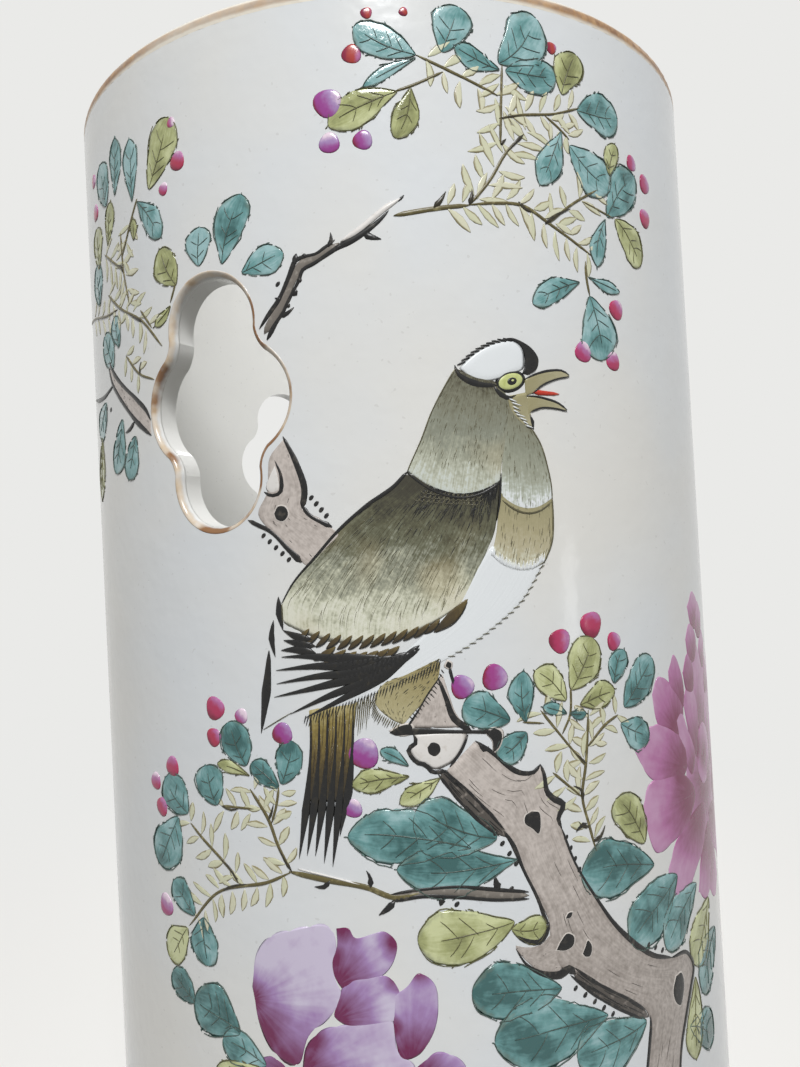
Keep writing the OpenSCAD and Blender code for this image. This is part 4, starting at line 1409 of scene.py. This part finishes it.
class HATSTAND_OT_sprays(bpy.types.Operator):
    """Paint the leaves, stems and fronds"""

    bl_idname = "hatstand.sprays"
    bl_label = "Leaf sprays"

    def execute(self, context):
        sizes, colours, rng = kit(context, "sprays")
        stems, thorns = Enamel(sizes.ink_lift), Enamel(sizes.ink_lift * 1.2)
        fronds = Enamel(sizes.wash_lift)
        for width, points in STEMS:
            stems.stroke(points, rng.uniform(0.85, 1.25, len(points)) * width, taper=0.12)
        for width, points in THORNS:
            thorns.stroke(points, [width, width * 0.6, width * 0.15], taper=0.04)
        for reach, points in FRONDS:
            self.frond(fronds, reach, points, rng)
        teal, lime, ink = Enamel(sizes.wash_lift), Enamel(sizes.wash_lift), Enamel(sizes.ink_lift * 1.2)
        olive = Enamel(sizes.ink_lift * 1.2)
        lay_leaves(teal, ink, TEAL_LEAVES, (0.35, 0.75), rng)
        lay_leaves(lime, olive, LIME_LEAVES, (0.5, 0.3), rng)
        stems.piece("stems", ink_finish("stem_ink", colours.stem, pigment(152, 144, 104)))
        thorns.piece("thorns", ink_finish("thorn_ink", pigment(52, 48, 36), pigment(90, 84, 58)))
        fronds.piece("frond_leaflets", frond_finish(colours))
        blue_green = (colours.teal_deep, colours.teal, colours.teal_pale)
        yellow_green = (colours.lime_deep, colours.lime, colours.lime_pale)
        teal.piece("teal_leaves", leaf_finish("teal_enamel", *blue_green))
        lime.piece("lime_leaves", leaf_finish("lime_enamel", *yellow_green))
        ink.inked("teal_leaf_ink", pigment(70, 86, 80), pigment(104, 132, 126))
        olive.inked("lime_leaf_ink", pigment(92, 90, 58), pigment(130, 130, 88))
        return {"FINISHED"}

    def frond(self, layer, reach, points, rng):
        """Pairs of narrow leaflets that lean forward along a stem."""
        count = max(3, int(length_of(points) / 2.1))
        path = curve(points, count)
        side = side_of(path)
        ahead = np.stack([side[:, 1], -side[:, 0]], axis=1)
        for here, left, way in zip(path, side, ahead):
            for hand in (-1, 1):
                lean = rng.uniform(0.4, 0.8)
                run = (left * hand + way * lean) / math.hypot(1, lean) * reach * rng.uniform(0.8, 1.15)
                start = here + run * rng.uniform(0.02, 0.16)
                width, bend = rng.uniform(0.95, 1.35), rng.uniform(-0.1, 0.1)
                leaf = Leaf(start, here + run, width, rng, plump=1.1, bend=bend)
                leaf.wash(layer, layer.lift * rng.uniform(0.7, 1.0), rng.uniform(0.1, 0.9), rows=7)


class HATSTAND_OT_berries(bpy.types.Operator):
    """Paint the berries"""

    bl_idname = "hatstand.berries"
    bl_label = "Berries"

    def execute(self, context):
        sizes, colours, rng = kit(context, "berries")
        layer = Enamel(sizes.berry_lift)
        ring = np.linspace(0, FULL_TURN, BERRY_POINTS, endpoint=False)
        for s, z, radius, pale, hue in BERRIES:
            wave = 1 + 0.06 * np.sin(3 * ring + rng.uniform(0, 6))
            outline = np.stack([s + radius * wave * np.cos(ring), z + radius * wave * np.sin(ring)], axis=1)
            light = math.radians(BERRY_LIGHT) + rng.uniform(-0.9, 0.9)
            fade = self.fade(s, z, radius, light, pale)
            layer.disc(outline, (s, z), layer.lift, fade, ringed, 5, dome=3, tint=hue)
        layer.piece("berries", berry_finish(colours))
        return {"FINISHED"}

    def fade(self, s, z, radius, light, pale):
        """Brush value across a berry: from its dark side to its pale side, shifted by how pale it is."""
        reach = BERRY_FADE / radius
        return lambda a, b, r: pale + reach * ((a - s) * math.cos(light) + (b - z) * math.sin(light))


class HATSTAND_OT_peonies(bpy.types.Operator):
    """Paint the front peony and the side peony"""

    bl_idname = "hatstand.peonies"
    bl_label = "Peonies"

    def execute(self, context):
        sizes, colours, rng = kit(context, "peonies")
        front, side = Enamel(sizes.wash_lift), Enamel(sizes.wash_lift)
        for order, points, hearts in FRONT_PETALS:
            self.petal(front, points, hearts, front.lift * (0.4 + 0.15 * order), rng)
        self.petal(side, *FLOWER_BACK, side.lift * 0.2, rng)
        for mirrored in (True, False):
            for order, points, hearts in SIDE_PETALS:
                if mirrored:
                    points, hearts = self.far_half(points), self.far_half(hearts)
                self.petal(side, points, hearts, side.lift * (0.3 + 0.12 * order), rng)
        self.petal(side, *FLOWER_HEART, side.lift * 0.9, rng)
        lilacs = (colours.plum, colours.lilac, colours.lilac_pale)
        roses = (colours.crimson, colours.rose, colours.rose_pale)
        front.piece("front_peony", petal_finish("lilac_enamel", *lilacs))
        side.piece("side_peony", petal_finish("rose_enamel", *roses))
        return {"FINISHED"}

    def far_half(self, rows):
        """Points or hearts of the side peony, mirrored to its far half."""
        return [(2 * FLOWER_AXIS - s + FAR_MOVE[0], z + FAR_MOVE[1], *reach) for s, z, *reach in rows]

    def petal(self, layer, points, hearts, rise, rng):
        """Flat-topped petal; its brush is 1 - exp(-HEART_FALL d^2), where d is the nearest heart's distance
        over that heart's reach, and the angle round the first heart."""
        outline = curve([*points, points[0]], PETAL_POINTS)[:-1]
        places = np.array(hearts)

        def fade(s, z, out):
            """0 at a heart, rising to 1 away from all of them."""
            away = np.hypot(s[..., None] - places[:, 0], z[..., None] - places[:, 1]) / places[:, 2]
            return 1 - np.exp(-HEART_FALL * away.min(axis=-1) ** 2)

        def turn(s, z, out):
            """Part of a full turn round the first heart."""
            return np.arctan2(z - places[0, 1], s - places[0, 0]) / FULL_TURN + 0.5

        tint = rng.uniform(0.35, 0.65)
        layer.disc(outline, outline.mean(axis=0), rise, fade, turn, 8, dome=10, tint=tint)


class HATSTAND_OT_bird(bpy.types.Operator):
    """Paint the bird on its perch"""

    bl_idname = "hatstand.bird"
    bl_label = "Bird"

    def execute(self, context):
        sizes, colours, rng = kit(context, "bird")
        rise = sizes.wash_lift / MM
        white, ink = Enamel(rise * MM), Enamel(sizes.ink_lift * 1.3)
        quill, soft = Enamel(sizes.ink_lift), Enamel(sizes.ink_lift * 1.3)
        Loft(BELLY_LEFT, BELLY_RIGHT).wash(white, rise * 0.7, rows=40)
        crown = curve([*CROWN, CROWN[0]], CROWN_POINTS)[:-1]
        white.disc(crown, crown.mean(axis=0), rise * 2.2, level, level, 4, dome=8)
        hood, throat, wing = self.plumage(colours, ink, quill, soft, rise, rng)
        self.lace(soft, wing, rise * 1.4)
        self.outlines(ink, soft, hood, throat)
        self.blades(ink)
        self.coverts(quill, ink, rng)
        self.fringe(white, ink, soft, rise, rng)
        self.head(colours, white, ink, rise)
        whites = [(0.0, colours.plume_white), (0.8, colours.plume_white), (1.0, pigment(214, 218, 220))]
        browns = [(0.0, pigment(104, 90, 50)), (0.4, colours.umber), (1.0, pigment(38, 31, 17))]
        white.plumed("bird_white", whites, 20.0)
        quill.plumed("bird_coverts", browns, 8.0)
        soft.inked("bird_hairs", pigment(92, 88, 66), pigment(136, 132, 106))
        ink.inked("bird_ink", colours.ink, pigment(50, 47, 40))
        return {"FINISHED"}

    def plumage(self, colours, ink, quill, soft, rise, rng):
        """Graded patches from the wing to the tail, with hairs on them; gives the hood, throat and wing."""
        wing = self.patch("bird_wing", WING_LEFT, WING_RIGHT, WING_SAG, rise * 0.9, 44, [
            (0.0, colours.plume_dark), (0.18, pigment(58, 56, 42)), (0.34, pigment(82, 81, 60)),
            (0.5, pigment(102, 103, 82)), (0.64, pigment(140, 142, 125)), (0.75, pigment(172, 173, 152)),
            (0.86, pigment(206, 207, 186)), (1.0, pigment(222, 222, 206)),
        ], 80.0, mottle=0.5, warm=0.35)
        breast = self.patch("bird_breast", BREAST_LEFT, BREAST_RIGHT, BREAST_SAG, rise * 1.1, 22, [
            (0.0, pigment(150, 144, 108)), (0.5, colours.tan), (0.8, pigment(184, 177, 148)),
            (1.0, colours.plume_cream),
        ], 34.0)
        throat = self.patch("bird_throat", THROAT_LEFT, THROAT_RIGHT, THROAT_SAG, rise * 1.3, 28, [
            (0.0, pigment(122, 120, 100)), (0.4, pigment(140, 143, 126)), (0.7, pigment(160, 163, 146)),
            (0.86, pigment(186, 192, 180)), (0.95, pigment(216, 221, 218)), (1.0, colours.plume_white),
        ], 36.0)
        hood = self.patch("bird_hood", HOOD_LEFT, HOOD_RIGHT, HOOD_SAG, rise * 1.6, 40, [
            (0.0, pigment(62, 58, 44)), (0.1, pigment(94, 92, 74)), (0.3, pigment(122, 122, 104)),
            (0.58, pigment(136, 139, 124)), (0.76, pigment(160, 162, 144)), (0.9, pigment(188, 191, 174)),
            (1.0, pigment(204, 210, 202)),
        ], 60.0, mottle=0.3, warm=0.25)
        thigh = self.patch("bird_thigh", THIGH_LEFT, THIGH_RIGHT, (0.0, 0.0), rise * 0.9, 18, [
            (0.0, pigment(142, 128, 82)), (0.5, pigment(160, 150, 108)), (1.0, pigment(186, 178, 140)),
        ], 26.0)
        tail = self.patch("bird_tail", TAIL_LEFT, TAIL_RIGHT, (0.0, 0.0), rise * 0.9, 20, [
            (0.0, pigment(172, 160, 112)), (0.2, pigment(136, 120, 62)), (0.45, pigment(104, 88, 40)),
            (0.7, pigment(66, 54, 24)), (1.0, pigment(36, 30, 18)),
        ], 30.0)
        hood.hairs(soft, 150, 0.05, 0.1, rng, rise * 1.8, u_range=(0.02, 0.85))
        throat.hairs(soft, 50, 0.07, 0.1, rng, rise * 1.6, u_range=(0.0, 0.8))
        breast.hairs(soft, 80, 0.1, 0.1, rng, rise * 1.4)
        thigh.hairs(soft, 110, 0.05, 0.13, rng, rise * 1.2)
        wing.hairs(ink, 200, 0.08, 0.14, rng, rise * 1.2, u_range=(0.03, 0.34), v_range=(0.3, 0.95))
        wing.hairs(ink, 110, 0.11, 0.3, rng, rise * 1.3, u_range=(0.01, 0.2), v_range=(0.4, 0.98))
        wing.hairs(ink, 60, 0.06, 0.1, rng, rise * 1.2, u_range=(0.2, 0.6))
        wing.hairs(soft, 260, 0.08, 0.08, rng, rise * 1.2, u_range=(0.3, 0.97))
        tail.hairs(quill, 46, 0.4, 0.16, rng, rise * 1.3)
        return hood, throat, wing

    def blades(self, ink):
        """Black feathers of the flight, the shoulder, the wing's side and the tail."""
        for blade in FLIGHT_BLADES:
            ink.stroke(blade, [0.8, 1.8, 1.0, 0.1], taper=0.05)
        for blade in SHOULDER_TIPS:
            ink.stroke(blade, [0.9, 1.3, 0.2], taper=0.05)
        for width, blade in SIDE_BLADES:
            ink.stroke(blade, [width * 0.3, width, width * 0.15], taper=0.1)
        for number, tip in enumerate(TAIL_TIPS):
            s, z = np.array(TAIL_ROOT) + number * np.array(TAIL_STEP)
            blade = [(s, z), (s - 0.3, z - 5), (s - 1.2, z - 12), (s - 3, tip)]
            ink.stroke(blade, [0.2, 0.45, 1.35, 0.12], taper=0.04)

    def patch(self, name, left, right, sag, rise, rows, stops, hairs, **touch):
        """One graded patch of plumage."""
        layer = Enamel(rise * MM)
        loft = Loft(left, right, sag)
        loft.wash(layer, rise, rows=rows, columns=19)
        layer.plumed(name, stops, hairs, **touch)
        return loft

    def lace(self, soft, wing, lift):
        """Rows of small scales on the wing, just under the hood."""
        bow = np.linspace(0, math.pi, 6)
        for row in range(3):
            for v in np.arange(0.3 + 0.02 * (row % 2), 0.84, 0.042):
                s, z = wing.at(np.array(0.12 + 0.03 * row - 0.1 * (v - 0.6) ** 2), np.array(v))
                scale = np.stack([s + 0.5 * np.cos(bow), z - 0.45 * np.sin(bow)], axis=1)
                soft.ribbon(scale, np.full(6, 0.055), lift)

    def outlines(self, ink, soft, hood, throat):
        """Brush lines round the patches of plumage, and the broken line of the belly."""
        hood_foot = hood.row(1.0, 9) + (0.0, -0.1)
        throat_foot = throat.row(1.0, 7, (0.02, 0.98)) + (0.0, -0.15)
        for layer, points, taper, widths in (
            (ink, WING_LEFT[:7], 0.03, [0.5, 0.65, 0.55, 0.5, 0.45, 0.3, 0.2]),
            (soft, WING_LEFT[6:], 0.1, [0.2, 0.15]),
            (ink, WING_FRONT, 0.05, [0.15, 0.45, 0.3, 0.1]),
            (ink, hood_foot, 0.03, [0.35, 0.3, 0.3, 0.35, 0.35, 0.35, 0.4, 0.45, 0.4]),
            (soft, throat_foot, 0.05, [0.25, 0.35, 0.4, 0.35, 0.35, 0.3, 0.2]),
            (soft, HOOD_LEFT, 0.05, [0.3, 0.2, 0.15, 0.2, 0.15, 0.2]),
            (soft, THROAT_RIGHT, 0.05, [0.3, 0.2, 0.2, 0.15, 0.2]),
            (soft, BREAST_RIGHT, 0.05, [0.2, 0.3, 0.3, 0.2]),
        ):
            layer.stroke(points, widths, taper)
        path = curve(BELLY_RIGHT[:5], 160)
        for start in range(2, 148, 9):
            run = path[start:start + 8]
            lean = np.linspace(0.2, -0.3, len(run))[:, None] * side_of(run)
            soft.ribbon(run + lean, 0.065 * np.sin(np.linspace(0.3, 2.9, len(run))))
        soft.stroke(WING_TIP, 0.15)

    def coverts(self, quill, ink, rng):
        """Two rows of small brown feathers along the wing's foot, each with a dark lower edge."""
        feathers = [LONG_FEATHER]
        feathers += [((s + 1.2, z + 1.6), (s - 1.2, z - 0.4), 0.8) for s, z in curve(WING_FOOT, 13)]
        feathers += [((s + 1.6, z + 1.0), (s - 1.9, z - 0.9), 1.0) for s, z in curve(SECOND_ROW, 7)]
        for number, (base, tip, width) in enumerate(feathers):
            feather = Leaf(base, tip, width, rng, plump=0.95, bend=0.03)
            feather.wash(quill, quill.lift * (0.9 + 0.04 * (number % 3)), 0.5, rows=9)
            u = np.linspace(0.05, 0.97, 9)
            feather.line(ink, u, 0.95 + 0 * u, 0.22, rng)

    def fringe(self, white, ink, soft, rise, rng):
        """Short hairs under the belly, on the thigh's edge, over the breast's foot and beside the tail;
        each row has its layer, path, count, reach, width and lift."""
        for layer, points, count, reach, width, lift in (
            (ink, [(5, -102), (-0.5, -104.5), (-6, -106.5), (-10.5, -108), (-15.5, -109.5)], 44,
             (-0.5, -1.3), 0.26, None),
            (ink, [(5, -103.5), (3, -107), (0, -110)], 14, (0.6, -0.4), 0.18, None),
            (soft, [(-5, -107), (-4.5, -109), (-1.5, -111)], 18, (-0.7, -0.9), 0.2, None),
            (white, [(13.5, -87.2), (15, -88.6), (17.5, -89.6), (20, -89.6), (22, -88.6)], 46, (0.1, 1.5),
             0.3, rise * 1.6),
            (soft, [(-8, -107.5), (-6.5, -107), (-5.5, -106.5)], 9, (-0.6, -4.2), 0.25, None),
        ):
            for s, z in curve(points, count):
                push = rng.uniform(0.6, 1.3)
                end = (s + reach[0] * push, z + reach[1] * push)
                layer.stroke([(s, z + 0.25), end], [width, 0.08], taper=0.05, lift=lift)

    def head(self, colours, white, ink, rise):
        """Crown, eye, beak, tongue and chin barbs."""
        ring = np.linspace(0, FULL_TURN, EYE_POINTS, endpoint=False)
        tilt = math.radians(EYE_TILT)

        def oval(place, wide, tall):
            """Outline of an ellipse round a place, tilted as the eye is."""
            x, y = wide * np.cos(ring), tall * np.sin(ring)
            s = place[0] + x * math.cos(tilt) - y * math.sin(tilt)
            z = place[1] + x * math.sin(tilt) + y * math.cos(tilt)
            return np.stack([s, z], axis=1)

        eye, beak, tongue = Enamel(rise * MM), Enamel(rise * MM), Enamel(rise * MM)
        Loft(FOREHEAD_OUTER, FOREHEAD_INNER).wash(ink, rise * 2.6, rows=26, columns=9)
        edge = curve(CROWN[:5], 90)
        side = side_of(edge)
        for start in range(2, 76, 8):
            run = edge[start:start + 12]
            lean = np.linspace(0.5, -0.05, len(run))[:, None] * side[start:start + 12]
            ink.ribbon(run + lean, 0.15 * np.sin(np.linspace(0.3, 2.8, len(run))), rise * 2.4)
        ink.stroke(UNDER_CROWN, [0.4, 0.9, 1.2, 0.9, 0.6], taper=0.1, lift=rise * 2.0)
        ink.stroke(UNDER_EYE, [0.6, 1.0, 0.8, 0.3], lift=rise * 2.0)
        Loft(CHIN_LEFT, CHIN_RIGHT).wash(beak, rise * 1.8, rows=14, columns=9)
        for layer, place, wide, tall, lift, rings in (
            (ink, EYE, 2.6, 1.65, 2.8, 3),
            (eye, EYE, 2.25, 1.3, 3.6, 4),
            (ink, PUPIL, 0.95, 0.66, 4.6, 3),
            (eye, GLINT, 0.32, 0.24, 5.4, 2),
        ):
            layer.disc(oval(place, wide, tall), place, rise * lift, level, ringed, rings, dome=8)
        for top, foot in ((UPPER_BEAK_TOP, UPPER_BEAK_FOOT), (LOWER_BEAK_TOP, LOWER_BEAK_FOOT)):
            Loft(top, foot).wash(beak, rise * 2.0, rows=18, columns=9)
            ink.stroke(top, [0.2, 0.35, 0.45, 0.4, 0.3], taper=0.06, lift=rise * 2.6)
            ink.stroke(foot[1:], [0.3, 0.3, 0.25, 0.25], taper=0.06, lift=rise * 2.6)
        tongue.stroke(TONGUE, [1.0, 0.7, 0.5], taper=0.08, lift=rise * 2)
        for step in np.linspace(0, 1, BARBS):
            s = BARB_TOP[0] + BARB_RUN[0] * step**1.4 + 0.2 * math.sin(9 * step)
            z = BARB_TOP[1] + BARB_RUN[1] * step
            reach = 1.3 + 0.4 * math.sin(13 * step)
            white.stroke([(s, z), (s + reach, z - 0.5)], [0.32, 0.1], taper=0.05, lift=rise * 2.4)
            s, z = s + 0.1, z - 0.27
            ink.stroke([(s, z), (s + 1.2, z - 0.4)], [0.16, 0.06], taper=0.05, lift=rise * 2.3)
        ink.stroke(CHIN_TIP, [0.3, 0.7, 0.15], lift=rise * 2.4)
        eye.inked("bird_eye", colours.eye, pigment(176, 184, 108))
        tans = [(0.0, pigment(152, 145, 108)), (0.5, pigment(160, 154, 120)), (1.0, pigment(176, 170, 138))]
        beak.plumed("bird_beak", tans, 6.0)
        tongue.inked("bird_tongue", colours.tongue, pigment(206, 96, 72))


# Lamps: place, width, height and power; each one faces the target.
LAMPS = {
    "key_light": ((0.05, -0.97, 1.21), 0.5, 0.5, 18.6),
    "streak_light": ((1.03, -0.62, 0.11), 0.1, 0.18, 0.14),
    "back_light": ((0.0, 1.50, 0.95), 0.8, 0.8, 15.0),
}
LAMP_TARGET = (0.0, 0.0, 0.2)
WORLD_LIGHT = 0.25
# Camera: millimetres of sensor and lens, metres from the axis and under the lip, and degrees.
SENSOR = 36.0
LENS = 29.62
CAMERA_AWAY = 0.1899
CAMERA_UNDER_LIP = 0.0855
CAMERA_PITCH = 1.105
CAMERA_ROLL = -2.979
NEAR_CLIP = 0.01
FLOOR_POINTS = 64
FLOOR_RINGS = 8


class HATSTAND_OT_stage(bpy.types.Operator):
    """Lay the floor, set the lights and the backdrop, and stand the camera"""

    bl_idname = "hatstand.stage"
    bl_label = "Stage"

    def execute(self, context):
        scene = context.scene
        sizes = scene.hatstand_sizes
        colours = scene.hatstand_colours
        self.floor(scene, sizes.floor_radius, floor_finish(colours, sizes.floor_radius))
        self.backdrop(scene, colours.backdrop)
        for name, lamp in LAMPS.items():
            self.lamp(scene, name, *lamp)
        self.camera(scene)
        scene.view_settings.view_transform = "Standard"
        return {"FINISHED"}

    def floor(self, scene, radius, finish):
        """A flat disc: rings of points whose radius grows with the square of their number."""
        ring = np.linspace(0, FULL_TURN, FLOOR_POINTS, endpoint=False)
        reach = radius * np.linspace(0, 1, FLOOR_RINGS + 1)[1:, None] ** 2
        x, y = reach * np.cos(ring), reach * np.sin(ring)
        places = np.stack([x, y, 0 * x], axis=-1).reshape(-1, 3)
        grid = np.arange(places.shape[0]).reshape(x.shape)
        after = np.roll(grid, -1, axis=1)
        faces = np.stack([grid[:-1], grid[1:], after[1:], after[:-1]], axis=-1).reshape(-1, 4)
        mesh = bpy.data.meshes.new("floor")
        mesh.from_pydata(places.tolist(), [], [*faces.tolist(), grid[0].tolist()])
        mesh.materials.append(finish)
        floor = bpy.data.objects.new("floor", mesh)
        scene.collection.objects.link(floor)

    def backdrop(self, scene, tone):
        """Even world light; camera, glossy and transmission rays see the pale backdrop at full strength."""
        light = Surroundings("studio", Color=(1.0, 1.0, 1.0), Strength=WORLD_LIGHT)
        shown = light.node("ShaderNodeBackground", {}, {"Color": tone})
        scene.world = light.cover(light.seen(), shown)

    def lamp(self, scene, name, place, width, height, power):
        """Soft oval lamp that faces the target."""
        data = bpy.data.lights.new(name, "AREA")
        data.shape = "ELLIPSE"
        data.size = width
        data.size_y = height
        data.energy = power
        lamp = bpy.data.objects.new(name, data)
        back = np.array(place) - np.array(LAMP_TARGET)
        back = back / np.linalg.norm(back)
        right = np.cross((0, 0, 1), back)
        right = right / np.linalg.norm(right)
        up = np.cross(back, right)
        lamp.matrix_world = self.stand(place, right, up, back)
        scene.collection.objects.link(lamp)

    def stand(self, place, right, up, back):
        """Matrix of a thing at a place, from the ways its three axes point."""
        turned = np.identity(4)
        turned[:3, :3] = np.stack([right, up, back], axis=1)
        turned[:3, 3] = place
        return Matrix(turned.tolist())

    def camera(self, scene):
        """Camera in front of the axis and under the lip, tipped up and rolled a little."""
        data = bpy.data.cameras.new("camera")
        data.sensor_width = SENSOR
        data.lens = LENS
        data.clip_start = NEAR_CLIP
        pitch, roll = math.radians(CAMERA_PITCH), math.radians(CAMERA_ROLL)
        ahead = np.array([0, math.cos(pitch), math.sin(pitch)])
        above = np.array([0, -math.sin(pitch), math.cos(pitch)])
        across = np.array([1.0, 0.0, 0.0])
        right = math.cos(roll) * across + math.sin(roll) * above
        up = -math.sin(roll) * across + math.cos(roll) * above
        camera = bpy.data.objects.new("camera", data)
        place = (0.0, -CAMERA_AWAY, LIP_Z - CAMERA_UNDER_LIP)
        camera.matrix_world = self.stand(place, right, up, -ahead)
        scene.collection.objects.link(camera)
        scene.camera = camera


STEPS = (
    HATSTAND_OT_porcelain,
    HATSTAND_OT_window_edges,
    HATSTAND_OT_trunk,
    HATSTAND_OT_sprays,
    HATSTAND_OT_berries,
    HATSTAND_OT_peonies,
    HATSTAND_OT_bird,
    HATSTAND_OT_stage,
)


class HATSTAND_PT_panel(bpy.types.Panel):
    """Lists the steps that glaze, paint and stage the stand"""

    bl_idname = "HATSTAND_PT_panel"
    bl_label = "Hat stand"
    bl_space_type = "VIEW_3D"
    bl_region_type = "UI"
    bl_category = "Hat stand"

    def draw(self, context):
        for step in STEPS:
            self.layout.operator(step.bl_idname)


CLASSES = (HatStandSizes, HatStandColours, *STEPS, HATSTAND_PT_panel)


def register():
    for item in CLASSES:
        bpy.utils.register_class(item)
    bpy.types.Scene.hatstand_sizes = bpy.props.PointerProperty(type=HatStandSizes)
    bpy.types.Scene.hatstand_colours = bpy.props.PointerProperty(type=HatStandColours)


def unregister():
    del bpy.types.Scene.hatstand_colours
    del bpy.types.Scene.hatstand_sizes
    for item in reversed(CLASSES):
        bpy.utils.unregister_class(item)


def main():
    """Take every step in order."""
    register()
    for step in STEPS:
        group, name = step.bl_idname.split(".")
        getattr(getattr(bpy.ops, group), name)()


if __name__ == "__main__":
    main()
